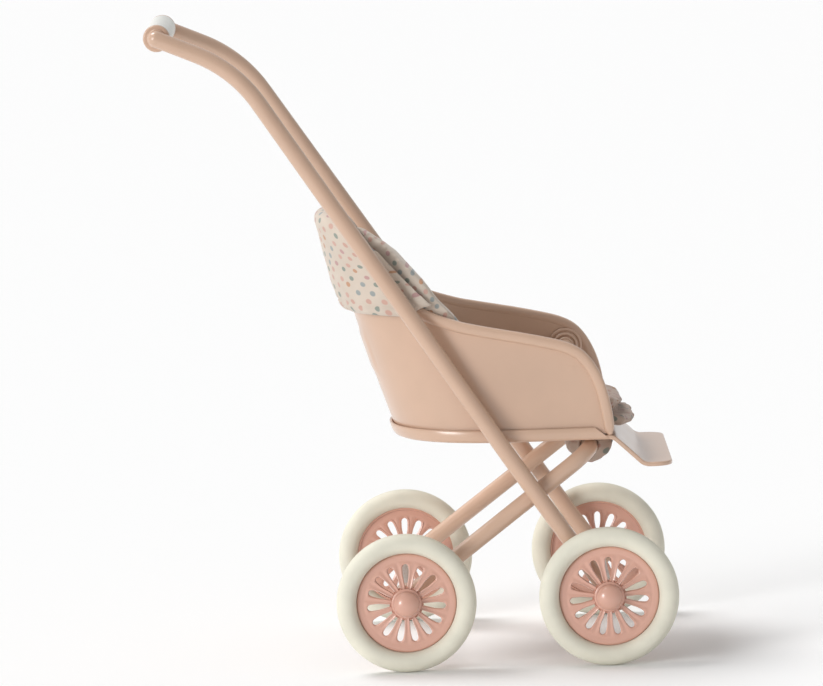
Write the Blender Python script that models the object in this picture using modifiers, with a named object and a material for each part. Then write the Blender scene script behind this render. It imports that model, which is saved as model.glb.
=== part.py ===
"""A pressed-metal doll's stroller with a fixed X frame, a bucket seat and four spinning wheels.

Every length is in metres. Places are measured from the rear axle: x forward, y to the
stroller's left, z up from the ground. One empty then carries the whole part to its own
origin, on the ground in the middle of its bounding box.
"""
import math

import bmesh
import bpy
from mathutils import Vector

MM = 0.001

# ------------------------------------------------------------------ driving dimensions
GAP = 0.3 * MM                      # clearance between two pieces that touch
MERGE_DISTANCE = 0.000002           # welds the loose ends of curves

WHEEL_RADIUS = 15.5 * MM
WHEEL_BASE = 44.9 * MM              # rear axle to front axle
TRACK_HALF = 33.0 * MM              # middle of the part to the middle of a tyre
TYRE_SECTION = 2.2 * MM             # radius of the tyre's round section
DISC_RADIUS = 10.8 * MM
DISC_THICKNESS = 0.8 * MM
SLOT_COUNT = 15
SLOT_INNER = (3.95 * MM, 0.40 * MM)  # distance from the hub and radius of a slot's narrow end
SLOT_OUTER = (8.30 * MM, 0.78 * MM)  # the same for its wide end
HUB_BARREL = 2.0 * MM
HUB_FLANGE = 3.3 * MM
AXLE_RADIUS = 1.1 * MM
BORE_RADIUS = AXLE_RADIUS + GAP
CAP_RADIUS = 2.8 * MM
CAP_TOP = 37.0 * MM                 # outermost point of an axle cap
AXLE_HALF = 35.9 * MM

TUBE_RADIUS = 1.85 * MM
EYE_RADIUS = 3.0 * MM               # the flattened eye that holds an axle

HANDLE_Y_LOW = 28.3 * MM            # the side tubes run parallel up to the seat floor,
HANDLE_Y_HIGH = 19.6 * MM           # then lean in towards the grip
HANDLE_BEND_LOW = (24.3 * MM, 46.0 * MM)
HANDLE_BEND_HIGH = (-33.9 * MM, 134.0 * MM)
HANDLE_BEND_RADII = (60.0 * MM, 30.0 * MM)
GRIP_AXIS = (-51.0 * MM, 141.3 * MM)
GRIP_RADIUS = 3.0 * MM
GRIP_ROD_RADIUS = 1.2 * MM
GRIP_CAP_THICKNESS = 1.6 * MM

LEG_Y_LOW = 25.0 * MM
LEG_Y_HIGH = 24.0 * MM
CROSSBAR = (42.0 * MM, 47.0 * MM)   # the bent frame's bar under the front of the seat
LEG_BEND_RADIUS = 6.0 * MM

SEAT_HALF = 23.8 * MM               # half the seat's width, at the middle of its wall
SEAT_FRONT_X = 47.0 * MM
SEAT_ROUND_X = 26.0 * MM            # where the straight sides end and the round back begins
SEAT_ROUNDNESS = 2.3                # exponent of the back's outline: 2 is an ellipse
SEAT_BACK_X = -0.2 * MM
SEAT_LEAN = 0.36                    # how far the back leans for each unit of height
SEAT_LEAN_EASE = 1.23               # how fast it straightens again, per metre of height
WALL = 0.9 * MM
BEAD_RADIUS = 1.35 * MM
BEAD_STAND_OFF = 0.7 * MM            # the rolled rim's centre, outward from the wall's middle
FLOOR_BOTTOM = 49.3 * MM
FLOOR_THICKNESS = 1.0 * MM
HEM_TOP = 52.1 * MM
HEM_THICKNESS = 0.6 * MM

FOOTREST_BENDS = ((47.2 * MM, 49.8 * MM), (54.0 * MM, 43.3 * MM))
FOOTREST_TIP_X = 60.3 * MM
FOOTREST_HALF = 24.2 * MM
FOOTREST_THICKNESS = 0.9 * MM
FOOTREST_CORNER = 4.0 * MM

BAR_AXIS = (38.4 * MM, 64.8 * MM)   # safety bar across the front of the seat
BAR_RADIUS = 1.5 * MM
COLLAR_RING = 2.85 * MM
COLLAR_SECTION = 1.05 * MM

HOOD_BOTTOM = 79.0 * MM
HOOD_TOP = 100.6 * MM
HOOD_OUTER = 3.1 * MM               # how far the hood stands off the middle of the wall
HOOD_INNER = 2.55 * MM
CUSHION_INSET = -1.0 * MM           # how far the cushions stay inside the middle of the wall
CUSHION_TOP = 58.3 * MM
CUSHION_FRONT_X = 50.5 * MM
BACK_PAD_THICKNESS = 6.0 * MM
STRAP_HALF = 16.0 * MM
STRAP_RADIUS = 4.1 * MM

ORIGIN_X = (FOOTREST_TIP_X + GRIP_AXIS[0] - GRIP_RADIUS) / 2

TUBE_SIDES_RESOLUTION = 3           # ten sides on the frame's tubes
BEAD_SIDES_RESOLUTION = 3
ROUND_STEPS = 20                    # facets round the seat's back
BEAD_STEP = 3.2 * MM
WHEEL_STEPS = 36
SMALL_STEPS = 16

# The rim in side view, from the bottom of the front edge to the top of the back.
RIM_POINTS = [
    (46.5 * MM, 50.6 * MM), (45.8 * MM, 56.0 * MM), (44.3 * MM, 62.0 * MM), (41.6 * MM, 67.0 * MM),
    (38.0 * MM, 69.8 * MM), (31.0 * MM, 71.8 * MM), (17.8 * MM, 74.5 * MM), (12.9 * MM, 75.7 * MM),
    (6.3 * MM, 78.2 * MM), (0.5 * MM, 82.3 * MM), (-5.5 * MM, 89.3 * MM), (-10.3 * MM, 95.0 * MM),
    (-14.25 * MM, 97.3 * MM),
]
# Side views that trim the hood and the back cushion, in millimetres.
HOOD_EDGE = [(6.0, 78.0), (6.0, 82.0), (1.0, 87.5), (-5.0, 93.5), (-9.5, 97.5), (-9.5, 103.0)]
WING_EDGE = [(12.0, 58.0), (12.0, 73.5), (7.0, 80.5), (2.5, 86.0), (-2.5, 91.0), (-7.0, 96.4)]


# ------------------------------------------------------------------------- scene helpers
def clear_scene():
    for obj in list(bpy.data.objects):
        bpy.data.objects.remove(obj, do_unlink=True)


def make_collection(name):
    collection = bpy.data.collections.new(name)
    bpy.context.scene.collection.children.link(collection)
    return collection


def make_material(name, colour, roughness, metallic=0.0):
    material = bpy.data.materials.new(name)
    material.use_nodes = True
    shader = material.node_tree.nodes["Principled BSDF"]
    shader.inputs["Base Color"].default_value = (*colour, 1.0)
    shader.inputs["Roughness"].default_value = roughness
    shader.inputs["Metallic"].default_value = metallic
    return material


def add_object(name, data, collection):
    obj = bpy.data.objects.new(name, data)
    collection.objects.link(obj)
    return obj


def finish_part(obj, material, parent, location=(0.0, 0.0, 0.0)):
    """Give a part its own material and its place under its empty."""
    slot = material.copy()
    slot.name = obj.name + "_finish"
    obj.data.materials.clear()
    obj.data.materials.append(slot)
    obj.parent = parent
    obj.location = location
    return obj


def smooth(mesh, degrees=35.0):
    mesh.shade_smooth()
    mesh.set_sharp_from_angle(angle=math.radians(degrees))


def freeze(obj):
    """Replace an object by a plain mesh of its evaluated shape, with curve caps welded."""
    bpy.context.view_layer.update()
    evaluated = obj.evaluated_get(bpy.context.evaluated_depsgraph_get())
    mesh = bpy.data.meshes.new_from_object(evaluated)
    bm = bmesh.new()
    bm.from_mesh(mesh)
    bmesh.ops.remove_doubles(bm, verts=bm.verts, dist=MERGE_DISTANCE)
    bm.to_mesh(mesh)
    bm.free()
    name = obj.name
    collection = obj.users_collection[0]
    matrix = obj.matrix_world.copy()
    bpy.data.objects.remove(obj, do_unlink=True)
    solid = add_object(name, mesh, collection)
    solid.matrix_world = matrix
    smooth(mesh)
    return solid


def combine(obj, other, operation):
    """Add a Boolean modifier; the other object becomes a hidden cutter."""
    other.hide_render = True
    other.display_type = "WIRE"
    modifier = obj.modifiers.new(operation.lower(), "BOOLEAN")
    modifier.operation = operation
    modifier.solver = "EXACT"
    modifier.object = other
    return obj


# -------------------------------------------------------------------------- shape makers
def mesh_from_bmesh(name, bm, collection):
    bmesh.ops.recalc_face_normals(bm, faces=bm.faces)
    mesh = bpy.data.meshes.new(name)
    bm.to_mesh(mesh)
    bm.free()
    smooth(mesh)
    return add_object(name, mesh, collection)


def lathe(name, profile, steps, collection):
    """Turn a closed profile of (radius, height) points round the z axis."""
    bm = bmesh.new()
    verts = [bm.verts.new((radius, 0.0, height)) for radius, height in profile]
    for first, second in zip(verts, verts[1:] + verts[:1]):
        bm.edges.new((first, second))
    mesh = bpy.data.meshes.new(name)
    bm.to_mesh(mesh)
    bm.free()
    obj = add_object(name, mesh, collection)
    screw = obj.modifiers.new("turn", "SCREW")
    screw.axis = "Z"
    screw.steps = steps
    screw.render_steps = steps
    screw.merge_threshold = 0.00001
    solid = freeze(obj)
    bm = bmesh.new()
    bm.from_mesh(solid.data)
    bmesh.ops.recalc_face_normals(bm, faces=bm.faces)
    bm.to_mesh(solid.data)
    bm.free()
    smooth(solid.data)
    return solid


def cylinder(name, radius, length, steps, collection):
    """A cylinder along z, centred on its origin."""
    bm = bmesh.new()
    bmesh.ops.create_cone(bm, cap_ends=True, segments=steps, radius1=radius, radius2=radius, depth=length)
    return mesh_from_bmesh(name, bm, collection)


def box(name, low, high, collection):
    bm = bmesh.new()
    bmesh.ops.create_cube(bm, size=1.0)
    size = Vector(high) - Vector(low)
    bmesh.ops.scale(bm, vec=size, verts=bm.verts)
    bmesh.ops.translate(bm, vec=(Vector(low) + Vector(high)) / 2, verts=bm.verts)
    return mesh_from_bmesh(name, bm, collection)


def prism(name, outline, half_width, collection):
    """Extrude an outline in the xz plane to both sides of y = 0."""
    bm = bmesh.new()
    face = bm.faces.new([bm.verts.new((x, -half_width, z)) for x, z in outline])
    grown = bmesh.ops.extrude_face_region(bm, geom=[face])
    moved = [item for item in grown["geom"] if isinstance(item, bmesh.types.BMVert)]
    bmesh.ops.translate(bm, vec=(0.0, 2 * half_width, 0.0), verts=moved)
    return mesh_from_bmesh(name, bm, collection)


def tube(name, points, radius, resolution, collection, end_radii=()):
    """A round tube along points; end_radii taper its last points to a rounded tip."""
    curve = bpy.data.curves.new(name, "CURVE")
    curve.dimensions = "3D"
    curve.bevel_depth = radius
    curve.bevel_resolution = resolution
    curve.use_fill_caps = True
    spline = curve.splines.new("POLY")
    spline.points.add(len(points) - 1)
    for point, place in zip(spline.points, points):
        point.co = (*place, 1.0)
    for point, factor in zip(reversed(spline.points), reversed(end_radii)):
        point.radius = factor
    return freeze(add_object(name, curve, collection))


def rounded_path(corners, radii, steps):
    """Straight runs between corners, each inner corner rounded by an arc of its radius."""
    points = [Vector(corners[0])]
    for before, corner, after, radius in zip(corners, corners[1:], corners[2:], radii):
        corner = Vector(corner)
        back = (Vector(before) - corner).normalized()
        ahead = (Vector(after) - corner).normalized()
        half_angle = back.angle(ahead) / 2
        reach = radius / math.tan(half_angle)
        centre = corner + (back + ahead).normalized() * (radius / math.sin(half_angle))
        start = corner + back * reach - centre
        end = corner + ahead * reach - centre
        sweep = start.angle(end)
        for step in range(steps + 1):
            share = step / steps
            first = math.sin((1 - share) * sweep) / math.sin(sweep)
            second = math.sin(share * sweep) / math.sin(sweep)
            points.append(centre + start * first + end * second)
    points.append(Vector(corners[-1]))
    return points


def smooth_line(points, steps):
    """A Catmull-Rom curve through flat points."""
    padded = [points[0]] + list(points) + [points[-1]]
    line = []
    for a, b, c, d in zip(padded, padded[1:], padded[2:], padded[3:]):
        for step in range(steps):
            t = step / steps
            line.append(tuple(
                0.5 * (2 * q + (r - p) * t + (2 * p - 5 * q + 4 * r - s) * t ** 2
                       + (3 * q - p - 3 * r + s) * t ** 3)
                for p, q, r, s in zip(a, b, c, d)))
    line.append(tuple(points[-1]))
    return line


def resample(points, step):
    """Points at equal distances along a 3-D line."""
    lengths = [0.0]
    for first, second in zip(points, points[1:]):
        lengths.append(lengths[-1] + (second - first).length)
    count = max(2, round(lengths[-1] / step))
    result = []
    index = 0
    for number in range(count + 1):
        target = lengths[-1] * number / count
        while index < len(points) - 2 and lengths[index + 1] < target:
            index += 1
        span = lengths[index + 1] - lengths[index]
        share = (target - lengths[index]) / span if span else 0.0
        result.append(points[index].lerp(points[index + 1], share))
    return result


# --------------------------------------------------------------------- the seat's outline
def seat_back_x(z):
    """Where the middle of the back wall stands at a height."""
    height = z - FLOOR_BOTTOM
    return SEAT_BACK_X - SEAT_LEAN * height + SEAT_LEAN_EASE * height ** 2


def seat_outline(z, offset, front_x):
    """The seat's plan at a height: right front corner, round the back, left front corner."""
    depth = SEAT_ROUND_X - seat_back_x(z) + offset
    half = SEAT_HALF + offset
    points = [(front_x, -half, z)]
    for step in range(ROUND_STEPS + 1):
        angle = math.pi * (step / ROUND_STEPS - 0.5)
        across = math.copysign(abs(math.sin(angle)) ** (2 / SEAT_ROUNDNESS), angle)
        back = max(0.0, math.cos(angle)) ** (2 / SEAT_ROUNDNESS)
        points.append((SEAT_ROUND_X - depth * back, half * across, z))
    points.append((front_x, half, z))
    return points


def seat_half_at(x, z, offset):
    """Half the seat's width at a point of its side view."""
    half = SEAT_HALF + offset
    if x >= SEAT_ROUND_X:
        return half
    depth = SEAT_ROUND_X - seat_back_x(z) + offset
    share = min(1.0, (SEAT_ROUND_X - x) / depth)
    return half * (1.0 - share ** SEAT_ROUNDNESS) ** (1 / SEAT_ROUNDNESS)


def seat_solid(name, levels, front_x, collection):
    """A closed solid lofted through seat outlines at (height, offset) levels."""
    bm = bmesh.new()
    rings = []
    for z, offset in levels:
        rings.append([bm.verts.new(point) for point in seat_outline(z, offset, front_x)])
    for lower, upper in zip(rings, rings[1:]):
        count = len(lower)
        for index in range(count):
            after = (index + 1) % count
            bm.faces.new((lower[index], lower[after], upper[after], upper[index]))
    bm.faces.new(reversed(rings[0]))
    bm.faces.new(rings[-1])
    return mesh_from_bmesh(name, bm, collection)


def even_levels(low, high, count, offset):
    return [(low + (high - low) * step / count, offset) for step in range(count + 1)]


def in_metres(points):
    return [(x * MM, z * MM) for x, z in points]


# --------------------------------------------------------------------------------- wheels
def tyre_mesh(collection):
    ring = WHEEL_RADIUS - TYRE_SECTION
    sides = 10
    profile = []
    for side in range(sides):
        angle = 2 * math.pi * side / sides
        profile.append((ring + TYRE_SECTION * math.cos(angle), TYRE_SECTION * math.sin(angle)))
    return lathe("tyre", profile, WHEEL_STEPS, collection)


def slot_outline(angle):
    """A petal: a narrow round end towards the hub and a wide one towards the tyre."""
    corner_steps = 5
    points = []
    for (distance, radius), turn in ((SLOT_OUTER, -0.5), (SLOT_INNER, 0.5)):
        for step in range(corner_steps + 1):
            around = math.pi * (turn + step / corner_steps)
            points.append((distance + radius * math.cos(around), radius * math.sin(around)))
    cos_a = math.cos(angle)
    sin_a = math.sin(angle)
    return [(x * cos_a - y * sin_a, x * sin_a + y * cos_a) for x, y in points]


def disc_mesh(parts, cutters):
    half = DISC_THICKNESS / 2
    hole = HUB_BARREL + GAP
    profile = [(hole, -half), (DISC_RADIUS, -half), (DISC_RADIUS, half), (hole, half)]
    disc = lathe("wheel_disc", profile, 3 * SLOT_COUNT, parts)
    bm = bmesh.new()
    for number in range(SLOT_COUNT):
        outline = slot_outline(math.pi / 2 + 2 * math.pi * number / SLOT_COUNT)
        face = bm.faces.new([bm.verts.new((x, y, -2 * half)) for x, y in outline])
        grown = bmesh.ops.extrude_face_region(bm, geom=[face])
        moved = [item for item in grown["geom"] if isinstance(item, bmesh.types.BMVert)]
        bmesh.ops.translate(bm, vec=(0.0, 0.0, 4 * half), verts=moved)
    slots = mesh_from_bmesh("slot_cutter", bm, cutters)
    return freeze(combine(disc, slots, "DIFFERENCE"))


def hub_mesh(collection):
    """A flanged sleeve that holds the disc and turns on the axle."""
    half_disc = DISC_THICKNESS / 2 + GAP
    inner_end = HANDLE_Y_LOW + TUBE_RADIUS + GAP - TRACK_HALF
    flange = 0.6 * MM
    profile = [
        (BORE_RADIUS, inner_end), (HUB_BARREL, inner_end),
        (HUB_BARREL, -half_disc - flange), (HUB_FLANGE - GAP, -half_disc - flange),
        (HUB_FLANGE - GAP, -half_disc), (HUB_BARREL, -half_disc),
        (HUB_BARREL, half_disc), (HUB_FLANGE, half_disc),
        (HUB_FLANGE, half_disc + flange), (BORE_RADIUS, half_disc + flange),
    ]
    return lathe("wheel_hub", profile, SMALL_STEPS, collection)


def cap_mesh(collection):
    """A domed cap pushed over the end of an axle; its height is from the tyre's middle."""
    base = DISC_THICKNESS / 2 + 2 * GAP + 0.6 * MM
    top = CAP_TOP - TRACK_HALF
    bore_end = AXLE_HALF - TRACK_HALF + GAP
    dome_start = base + 0.9 * MM
    profile = [(BORE_RADIUS, base), (CAP_RADIUS, base), (CAP_RADIUS, dome_start)]
    dome_steps = 4
    for step in range(1, dome_steps + 1):
        angle = math.pi / 2 * step / dome_steps
        radius = CAP_RADIUS * math.cos(angle)
        height = dome_start + (top - dome_start) * math.sin(angle)
        profile.append((max(radius, 0.0), height))
    profile.append((0.0, bore_end))
    profile.append((BORE_RADIUS, bore_end))
    return lathe("axle_cap", profile, SMALL_STEPS, collection)


def build_wheels(parts, cutters, finishes, root):
    makers = {"tyre": tyre_mesh(parts), "disc": disc_mesh(parts, cutters), "hub": hub_mesh(parts)}
    cap = cap_mesh(parts)
    slots = {"tyre": "tyre", "disc": "wheel_metal", "hub": "wheel_metal"}
    for end, x in (("front", WHEEL_BASE), ("rear", 0.0)):
        for side, sign in (("left", 1), ("right", -1)):
            pivot = bpy.data.objects.new(f"pivot_{end}_{side}", None)
            parts.objects.link(pivot)
            pivot.parent = root
            pivot.location = (x, sign * TRACK_HALF, WHEEL_RADIUS)
            pivot.rotation_euler = (-sign * math.pi / 2, 0.0, 0.0)
            for piece, source in makers.items():
                obj = add_object(f"{piece}_{end}_{side}", source.data.copy(), parts)
                finish_part(obj, finishes[slots[piece]], pivot)
            obj = add_object(f"axle_cap_{end}_{side}", cap.data.copy(), parts)
            finish_part(obj, finishes["wheel_metal"], pivot)
    for source in (*makers.values(), cap):
        bpy.data.objects.remove(source, do_unlink=True)


def build_axles(parts, finishes, root):
    for end, x in (("front", WHEEL_BASE), ("rear", 0.0)):
        axle = cylinder(f"{end}_axle", AXLE_RADIUS, 2 * AXLE_HALF, SMALL_STEPS, parts)
        axle.rotation_euler = (math.pi / 2, 0.0, 0.0)
        finish_part(axle, finishes["steel"], root, (x, 0.0, WHEEL_RADIUS))
    inner = LEG_Y_LOW + TUBE_RADIUS + GAP
    outer = HANDLE_Y_LOW + TUBE_RADIUS
    half = (outer - inner) / 2
    for side, sign in (("left", 1), ("right", -1)):
        profile = [(BORE_RADIUS, -half), (HUB_BARREL, -half), (HUB_BARREL, half), (BORE_RADIUS, half)]
        spacer = lathe(f"rear_spacer_{side}", profile, SMALL_STEPS, parts)
        spacer.rotation_euler = (math.pi / 2, 0.0, 0.0)
        finish_part(spacer, finishes["steel"], root, (0.0, sign * (inner + half), WHEEL_RADIUS))


# ---------------------------------------------------------------------------------- frame
def add_eye(obj, x, y, cutters):
    """Join a flat round eye to a tube's end and bore it for the axle."""
    eye = cylinder(f"{obj.name}_eye", EYE_RADIUS, 2 * TUBE_RADIUS, SMALL_STEPS, cutters)
    bore = cylinder(f"{obj.name}_bore", BORE_RADIUS, 4 * TUBE_RADIUS, SMALL_STEPS, cutters)
    for tool, operation in ((eye, "UNION"), (bore, "DIFFERENCE")):
        tool.rotation_euler = (math.pi / 2, 0.0, 0.0)
        tool.location = (x, y, WHEEL_RADIUS)
        combine(obj, tool, operation)


def build_handle(parts, cutters, finishes, root):
    for side, sign in (("left", 1), ("right", -1)):
        corners = [
            (WHEEL_BASE, sign * HANDLE_Y_LOW, WHEEL_RADIUS),
            (HANDLE_BEND_LOW[0], sign * HANDLE_Y_LOW, HANDLE_BEND_LOW[1]),
            (HANDLE_BEND_HIGH[0], sign * HANDLE_Y_HIGH, HANDLE_BEND_HIGH[1]),
            (GRIP_AXIS[0], sign * HANDLE_Y_HIGH, GRIP_AXIS[1]),
        ]
        path = rounded_path(corners, HANDLE_BEND_RADII, 7)
        ahead = (path[-1] - path[-2]).normalized()
        tip = ((0.0, 1.0), (0.5, 0.87), (0.85, 0.5), (1.0, 0.15))
        path = path[:-1] + [path[-1] + ahead * TUBE_RADIUS * reach for reach, _ in tip]
        radii = [factor for _, factor in tip]
        name = f"handle_tube_{side}"
        obj = tube(name, path, TUBE_RADIUS, TUBE_SIDES_RESOLUTION, parts, radii)
        add_eye(obj, WHEEL_BASE, sign * HANDLE_Y_LOW, cutters)
        finish_part(freeze(obj), finishes["painted_metal"], root)


def build_grip(parts, finishes, root):
    place = (GRIP_AXIS[0], 0.0, GRIP_AXIS[1])
    reach = HANDLE_Y_HIGH - TUBE_RADIUS - GAP
    rod = cylinder("grip_rod", GRIP_ROD_RADIUS, 2 * reach, SMALL_STEPS, parts)
    rod.rotation_euler = (math.pi / 2, 0.0, 0.0)
    finish_part(rod, finishes["steel"], root, place)

    bore = GRIP_ROD_RADIUS + GAP
    half = reach - GRIP_CAP_THICKNESS - GAP
    edge = 0.3 * MM
    sleeve_profile = [
        (bore, -half), (GRIP_RADIUS - edge, -half), (GRIP_RADIUS, -half + edge),
        (GRIP_RADIUS, half - edge), (GRIP_RADIUS - edge, half), (bore, half),
    ]
    sleeve = lathe("grip_sleeve", sleeve_profile, 28, parts)
    sleeve.rotation_euler = (math.pi / 2, 0.0, 0.0)
    finish_part(sleeve, finishes["grip"], root, place)

    thick = GRIP_CAP_THICKNESS / 2
    cap_profile = [
        (bore, -thick), (GRIP_RADIUS, -thick), (GRIP_RADIUS, thick - edge),
        (GRIP_RADIUS - edge, thick), (bore, thick),
    ]
    for side, sign in (("left", 1), ("right", -1)):
        cap = lathe(f"grip_cap_{side}", cap_profile, 28, parts)
        cap.rotation_euler = (-sign * math.pi / 2, 0.0, 0.0)
        finish_part(cap, finishes["painted_metal"], root, (place[0], sign * (reach - thick), place[2]))


def build_rear_legs(parts, cutters, finishes, root):
    corners = [
        (0.0, -LEG_Y_LOW, WHEEL_RADIUS), (CROSSBAR[0], -LEG_Y_HIGH, CROSSBAR[1]),
        (CROSSBAR[0], LEG_Y_HIGH, CROSSBAR[1]), (0.0, LEG_Y_LOW, WHEEL_RADIUS),
    ]
    path = rounded_path(corners, (LEG_BEND_RADIUS, LEG_BEND_RADIUS), 7)
    legs = tube("rear_leg_frame", path, TUBE_RADIUS, TUBE_SIDES_RESOLUTION, parts)
    add_eye(legs, 0.0, -LEG_Y_LOW, cutters)
    legs = freeze(legs)
    add_eye(legs, 0.0, LEG_Y_LOW, cutters)
    finish_part(freeze(legs), finishes["painted_metal"], root)


# ----------------------------------------------------------------------------------- seat
def rim_path(offset):
    """The rolled rim's centre line, up one side, round the back and down the other."""
    right = []
    for x, z in smooth_line(RIM_POINTS, 12):
        if z > HEM_TOP + 2 * GAP:
            right.append(Vector((x, -seat_half_at(x, z, offset), z)))
    last = right[-1]
    right[-1] = Vector((seat_back_x(last.z) - offset, 0.0, last.z))
    left = [Vector((point.x, -point.y, point.z)) for point in reversed(right[:-1])]
    return resample(right + left, BEAD_STEP)


def build_seat_shell(parts, cutters, finishes, root):
    low = FLOOR_BOTTOM + FLOOR_THICKNESS + GAP
    high = HOOD_TOP
    shell = seat_solid("seat_shell", even_levels(low, high, 5, WALL / 2), SEAT_FRONT_X, parts)
    hollow_levels = even_levels(low - 5 * MM, high + 5 * MM, 7, -WALL / 2)
    hollow = seat_solid("seat_hollow", hollow_levels, SEAT_FRONT_X + 10 * MM, cutters)
    far_back = -40 * MM
    outline = smooth_line(RIM_POINTS, 6)
    outline += [(far_back, RIM_POINTS[-1][1]), (far_back, 45 * MM), (SEAT_FRONT_X, 45 * MM)]
    below_rim = prism("below_rim", outline, 40 * MM, cutters)
    combine(shell, hollow, "DIFFERENCE")
    combine(shell, below_rim, "INTERSECT")
    path = rim_path(BEAD_STAND_OFF)
    bead = tube("rim_bead", path, BEAD_RADIUS, BEAD_SIDES_RESOLUTION, cutters)
    combine(shell, bead, "UNION")
    finish_part(freeze(shell), finishes["painted_metal"], root)


def footrest_sheet(collection):
    """The floor's front, bent down and out flat again, with round front corners."""
    start = (SEAT_FRONT_X - 8 * MM, FOOTREST_BENDS[0][1])
    tip = (FOOTREST_TIP_X, FOOTREST_BENDS[1][1])
    corners = [(x, 0.0, z) for x, z in (start, *FOOTREST_BENDS, tip)]
    line = resample(rounded_path(corners, (2.5 * MM, 3.0 * MM), 6), 1.0 * MM)
    bm = bmesh.new()
    rows = []
    travelled = sum((b - a).length for a, b in zip(line, line[1:]))
    for index, point in enumerate(line):
        if index:
            travelled -= (point - line[index - 1]).length
        inset = max(0.0, FOOTREST_CORNER - travelled)
        half = FOOTREST_HALF - FOOTREST_CORNER
        half += math.sqrt(max(0.0, FOOTREST_CORNER ** 2 - inset ** 2))
        rows.append([bm.verts.new((point.x, half * side, point.z)) for side in (-1, 1)])
    for first, second in zip(rows, rows[1:]):
        bm.faces.new((first[0], second[0], second[1], first[1]))
    sheet = mesh_from_bmesh("footrest_sheet", bm, collection)
    thicken = sheet.modifiers.new("thickness", "SOLIDIFY")
    thicken.thickness = FOOTREST_THICKNESS
    thicken.offset = 0.0
    return freeze(sheet)


def build_seat_pan(parts, cutters, finishes, root):
    """Floor, folded hem and footrest, pressed from one sheet."""
    outer = WALL / 2 + GAP + HEM_THICKNESS
    inner = WALL / 2 + GAP
    floor_top = FLOOR_BOTTOM + FLOOR_THICKNESS
    pan = seat_solid("seat_pan", [(FLOOR_BOTTOM, outer), (HEM_TOP, outer)], SEAT_FRONT_X, parts)
    tray_levels = [(floor_top, inner), (HEM_TOP + 3 * MM, inner)]
    tray = seat_solid("pan_hollow", tray_levels, SEAT_FRONT_X + 5 * MM, cutters)
    combine(pan, tray, "DIFFERENCE")
    combine(pan, footrest_sheet(cutters), "UNION")
    finish_part(freeze(pan), finishes["painted_metal"], root)


def build_safety_bar(parts, finishes, root):
    inner_face = SEAT_HALF - WALL / 2 - GAP
    bar = cylinder("safety_bar", BAR_RADIUS, 2 * inner_face, SMALL_STEPS, parts)
    bar.rotation_euler = (math.pi / 2, 0.0, 0.0)
    finish_part(bar, finishes["painted_metal"], root, (BAR_AXIS[0], 0.0, BAR_AXIS[1]))
    sides = 8
    profile = []
    for side in range(sides):
        angle = 2 * math.pi * side / sides
        profile.append((COLLAR_RING + COLLAR_SECTION * math.cos(angle), COLLAR_SECTION * math.sin(angle)))
    for side, sign in (("left", 1), ("right", -1)):
        collar = lathe(f"bar_collar_{side}", profile, SMALL_STEPS, parts)
        collar.rotation_euler = (math.pi / 2, 0.0, 0.0)
        place = (BAR_AXIS[0], sign * (inner_face - COLLAR_SECTION), BAR_AXIS[1])
        finish_part(collar, finishes["painted_metal"], root, place)


# ------------------------------------------------------------------------------ soft parts
def build_hood(parts, cutters, finishes, root):
    """The fabric pocket that is pulled down over the top of the metal back."""
    levels = [
        (HOOD_BOTTOM, HOOD_OUTER), (HOOD_BOTTOM + 9 * MM, HOOD_OUTER),
        (HOOD_TOP - 3 * MM, HOOD_OUTER), (HOOD_TOP - 1 * MM, HOOD_OUTER - 0.8 * MM),
        (HOOD_TOP, HOOD_OUTER - 2.4 * MM),
    ]
    hood = seat_solid("back_hood", levels, SEAT_ROUND_X, parts)
    inside_top = RIM_POINTS[-1][1] + BEAD_RADIUS + GAP
    hollow_levels = even_levels(HOOD_BOTTOM - 4 * MM, inside_top, 4, HOOD_INNER)
    hollow = seat_solid("hood_hollow", hollow_levels, SEAT_ROUND_X + 5 * MM, cutters)
    outline = in_metres([(-40.0, 78.0)] + HOOD_EDGE + [(-40.0, 103.0)])
    keep = prism("hood_edge", outline, 40 * MM, cutters)
    combine(hood, hollow, "DIFFERENCE")
    combine(hood, keep, "INTERSECT")
    finish_part(freeze(hood), finishes["fabric"], root)


def build_back_cushion(parts, cutters, finishes, root):
    """The padded back with wings that line the sides."""
    low = CUSHION_TOP + GAP
    high = RIM_POINTS[-1][1] - 1.0 * MM
    pad = seat_solid("back_cushion", even_levels(low, high, 4, CUSHION_INSET), SEAT_ROUND_X, parts)
    inset = CUSHION_INSET - BACK_PAD_THICKNESS
    hollow_levels = even_levels(low - 5 * MM, high + 5 * MM, 5, inset)
    hollow = seat_solid("pad_hollow", hollow_levels, SEAT_ROUND_X + 5 * MM, cutters)
    outline = in_metres([(-40.0, 58.0)] + WING_EDGE + [(-7.0, 99.0), (-40.0, 99.0)])
    keep = prism("wing_edge", outline, 40 * MM, cutters)
    combine(pad, hollow, "DIFFERENCE")
    combine(pad, keep, "INTERSECT")
    finish_part(freeze(pad), finishes["fabric"], root)


def build_seat_cushion(parts, finishes, root):
    low = FLOOR_BOTTOM + FLOOR_THICKNESS + GAP
    levels = [
        (low, CUSHION_INSET - 1 * MM), (low + 2 * MM, CUSHION_INSET),
        (CUSHION_TOP - 2 * MM, CUSHION_INSET), (CUSHION_TOP, CUSHION_INSET - 2 * MM),
    ]
    cushion = seat_solid("seat_cushion", levels, CUSHION_FRONT_X, parts)
    finish_part(cushion, finishes["fabric"], root)


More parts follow.
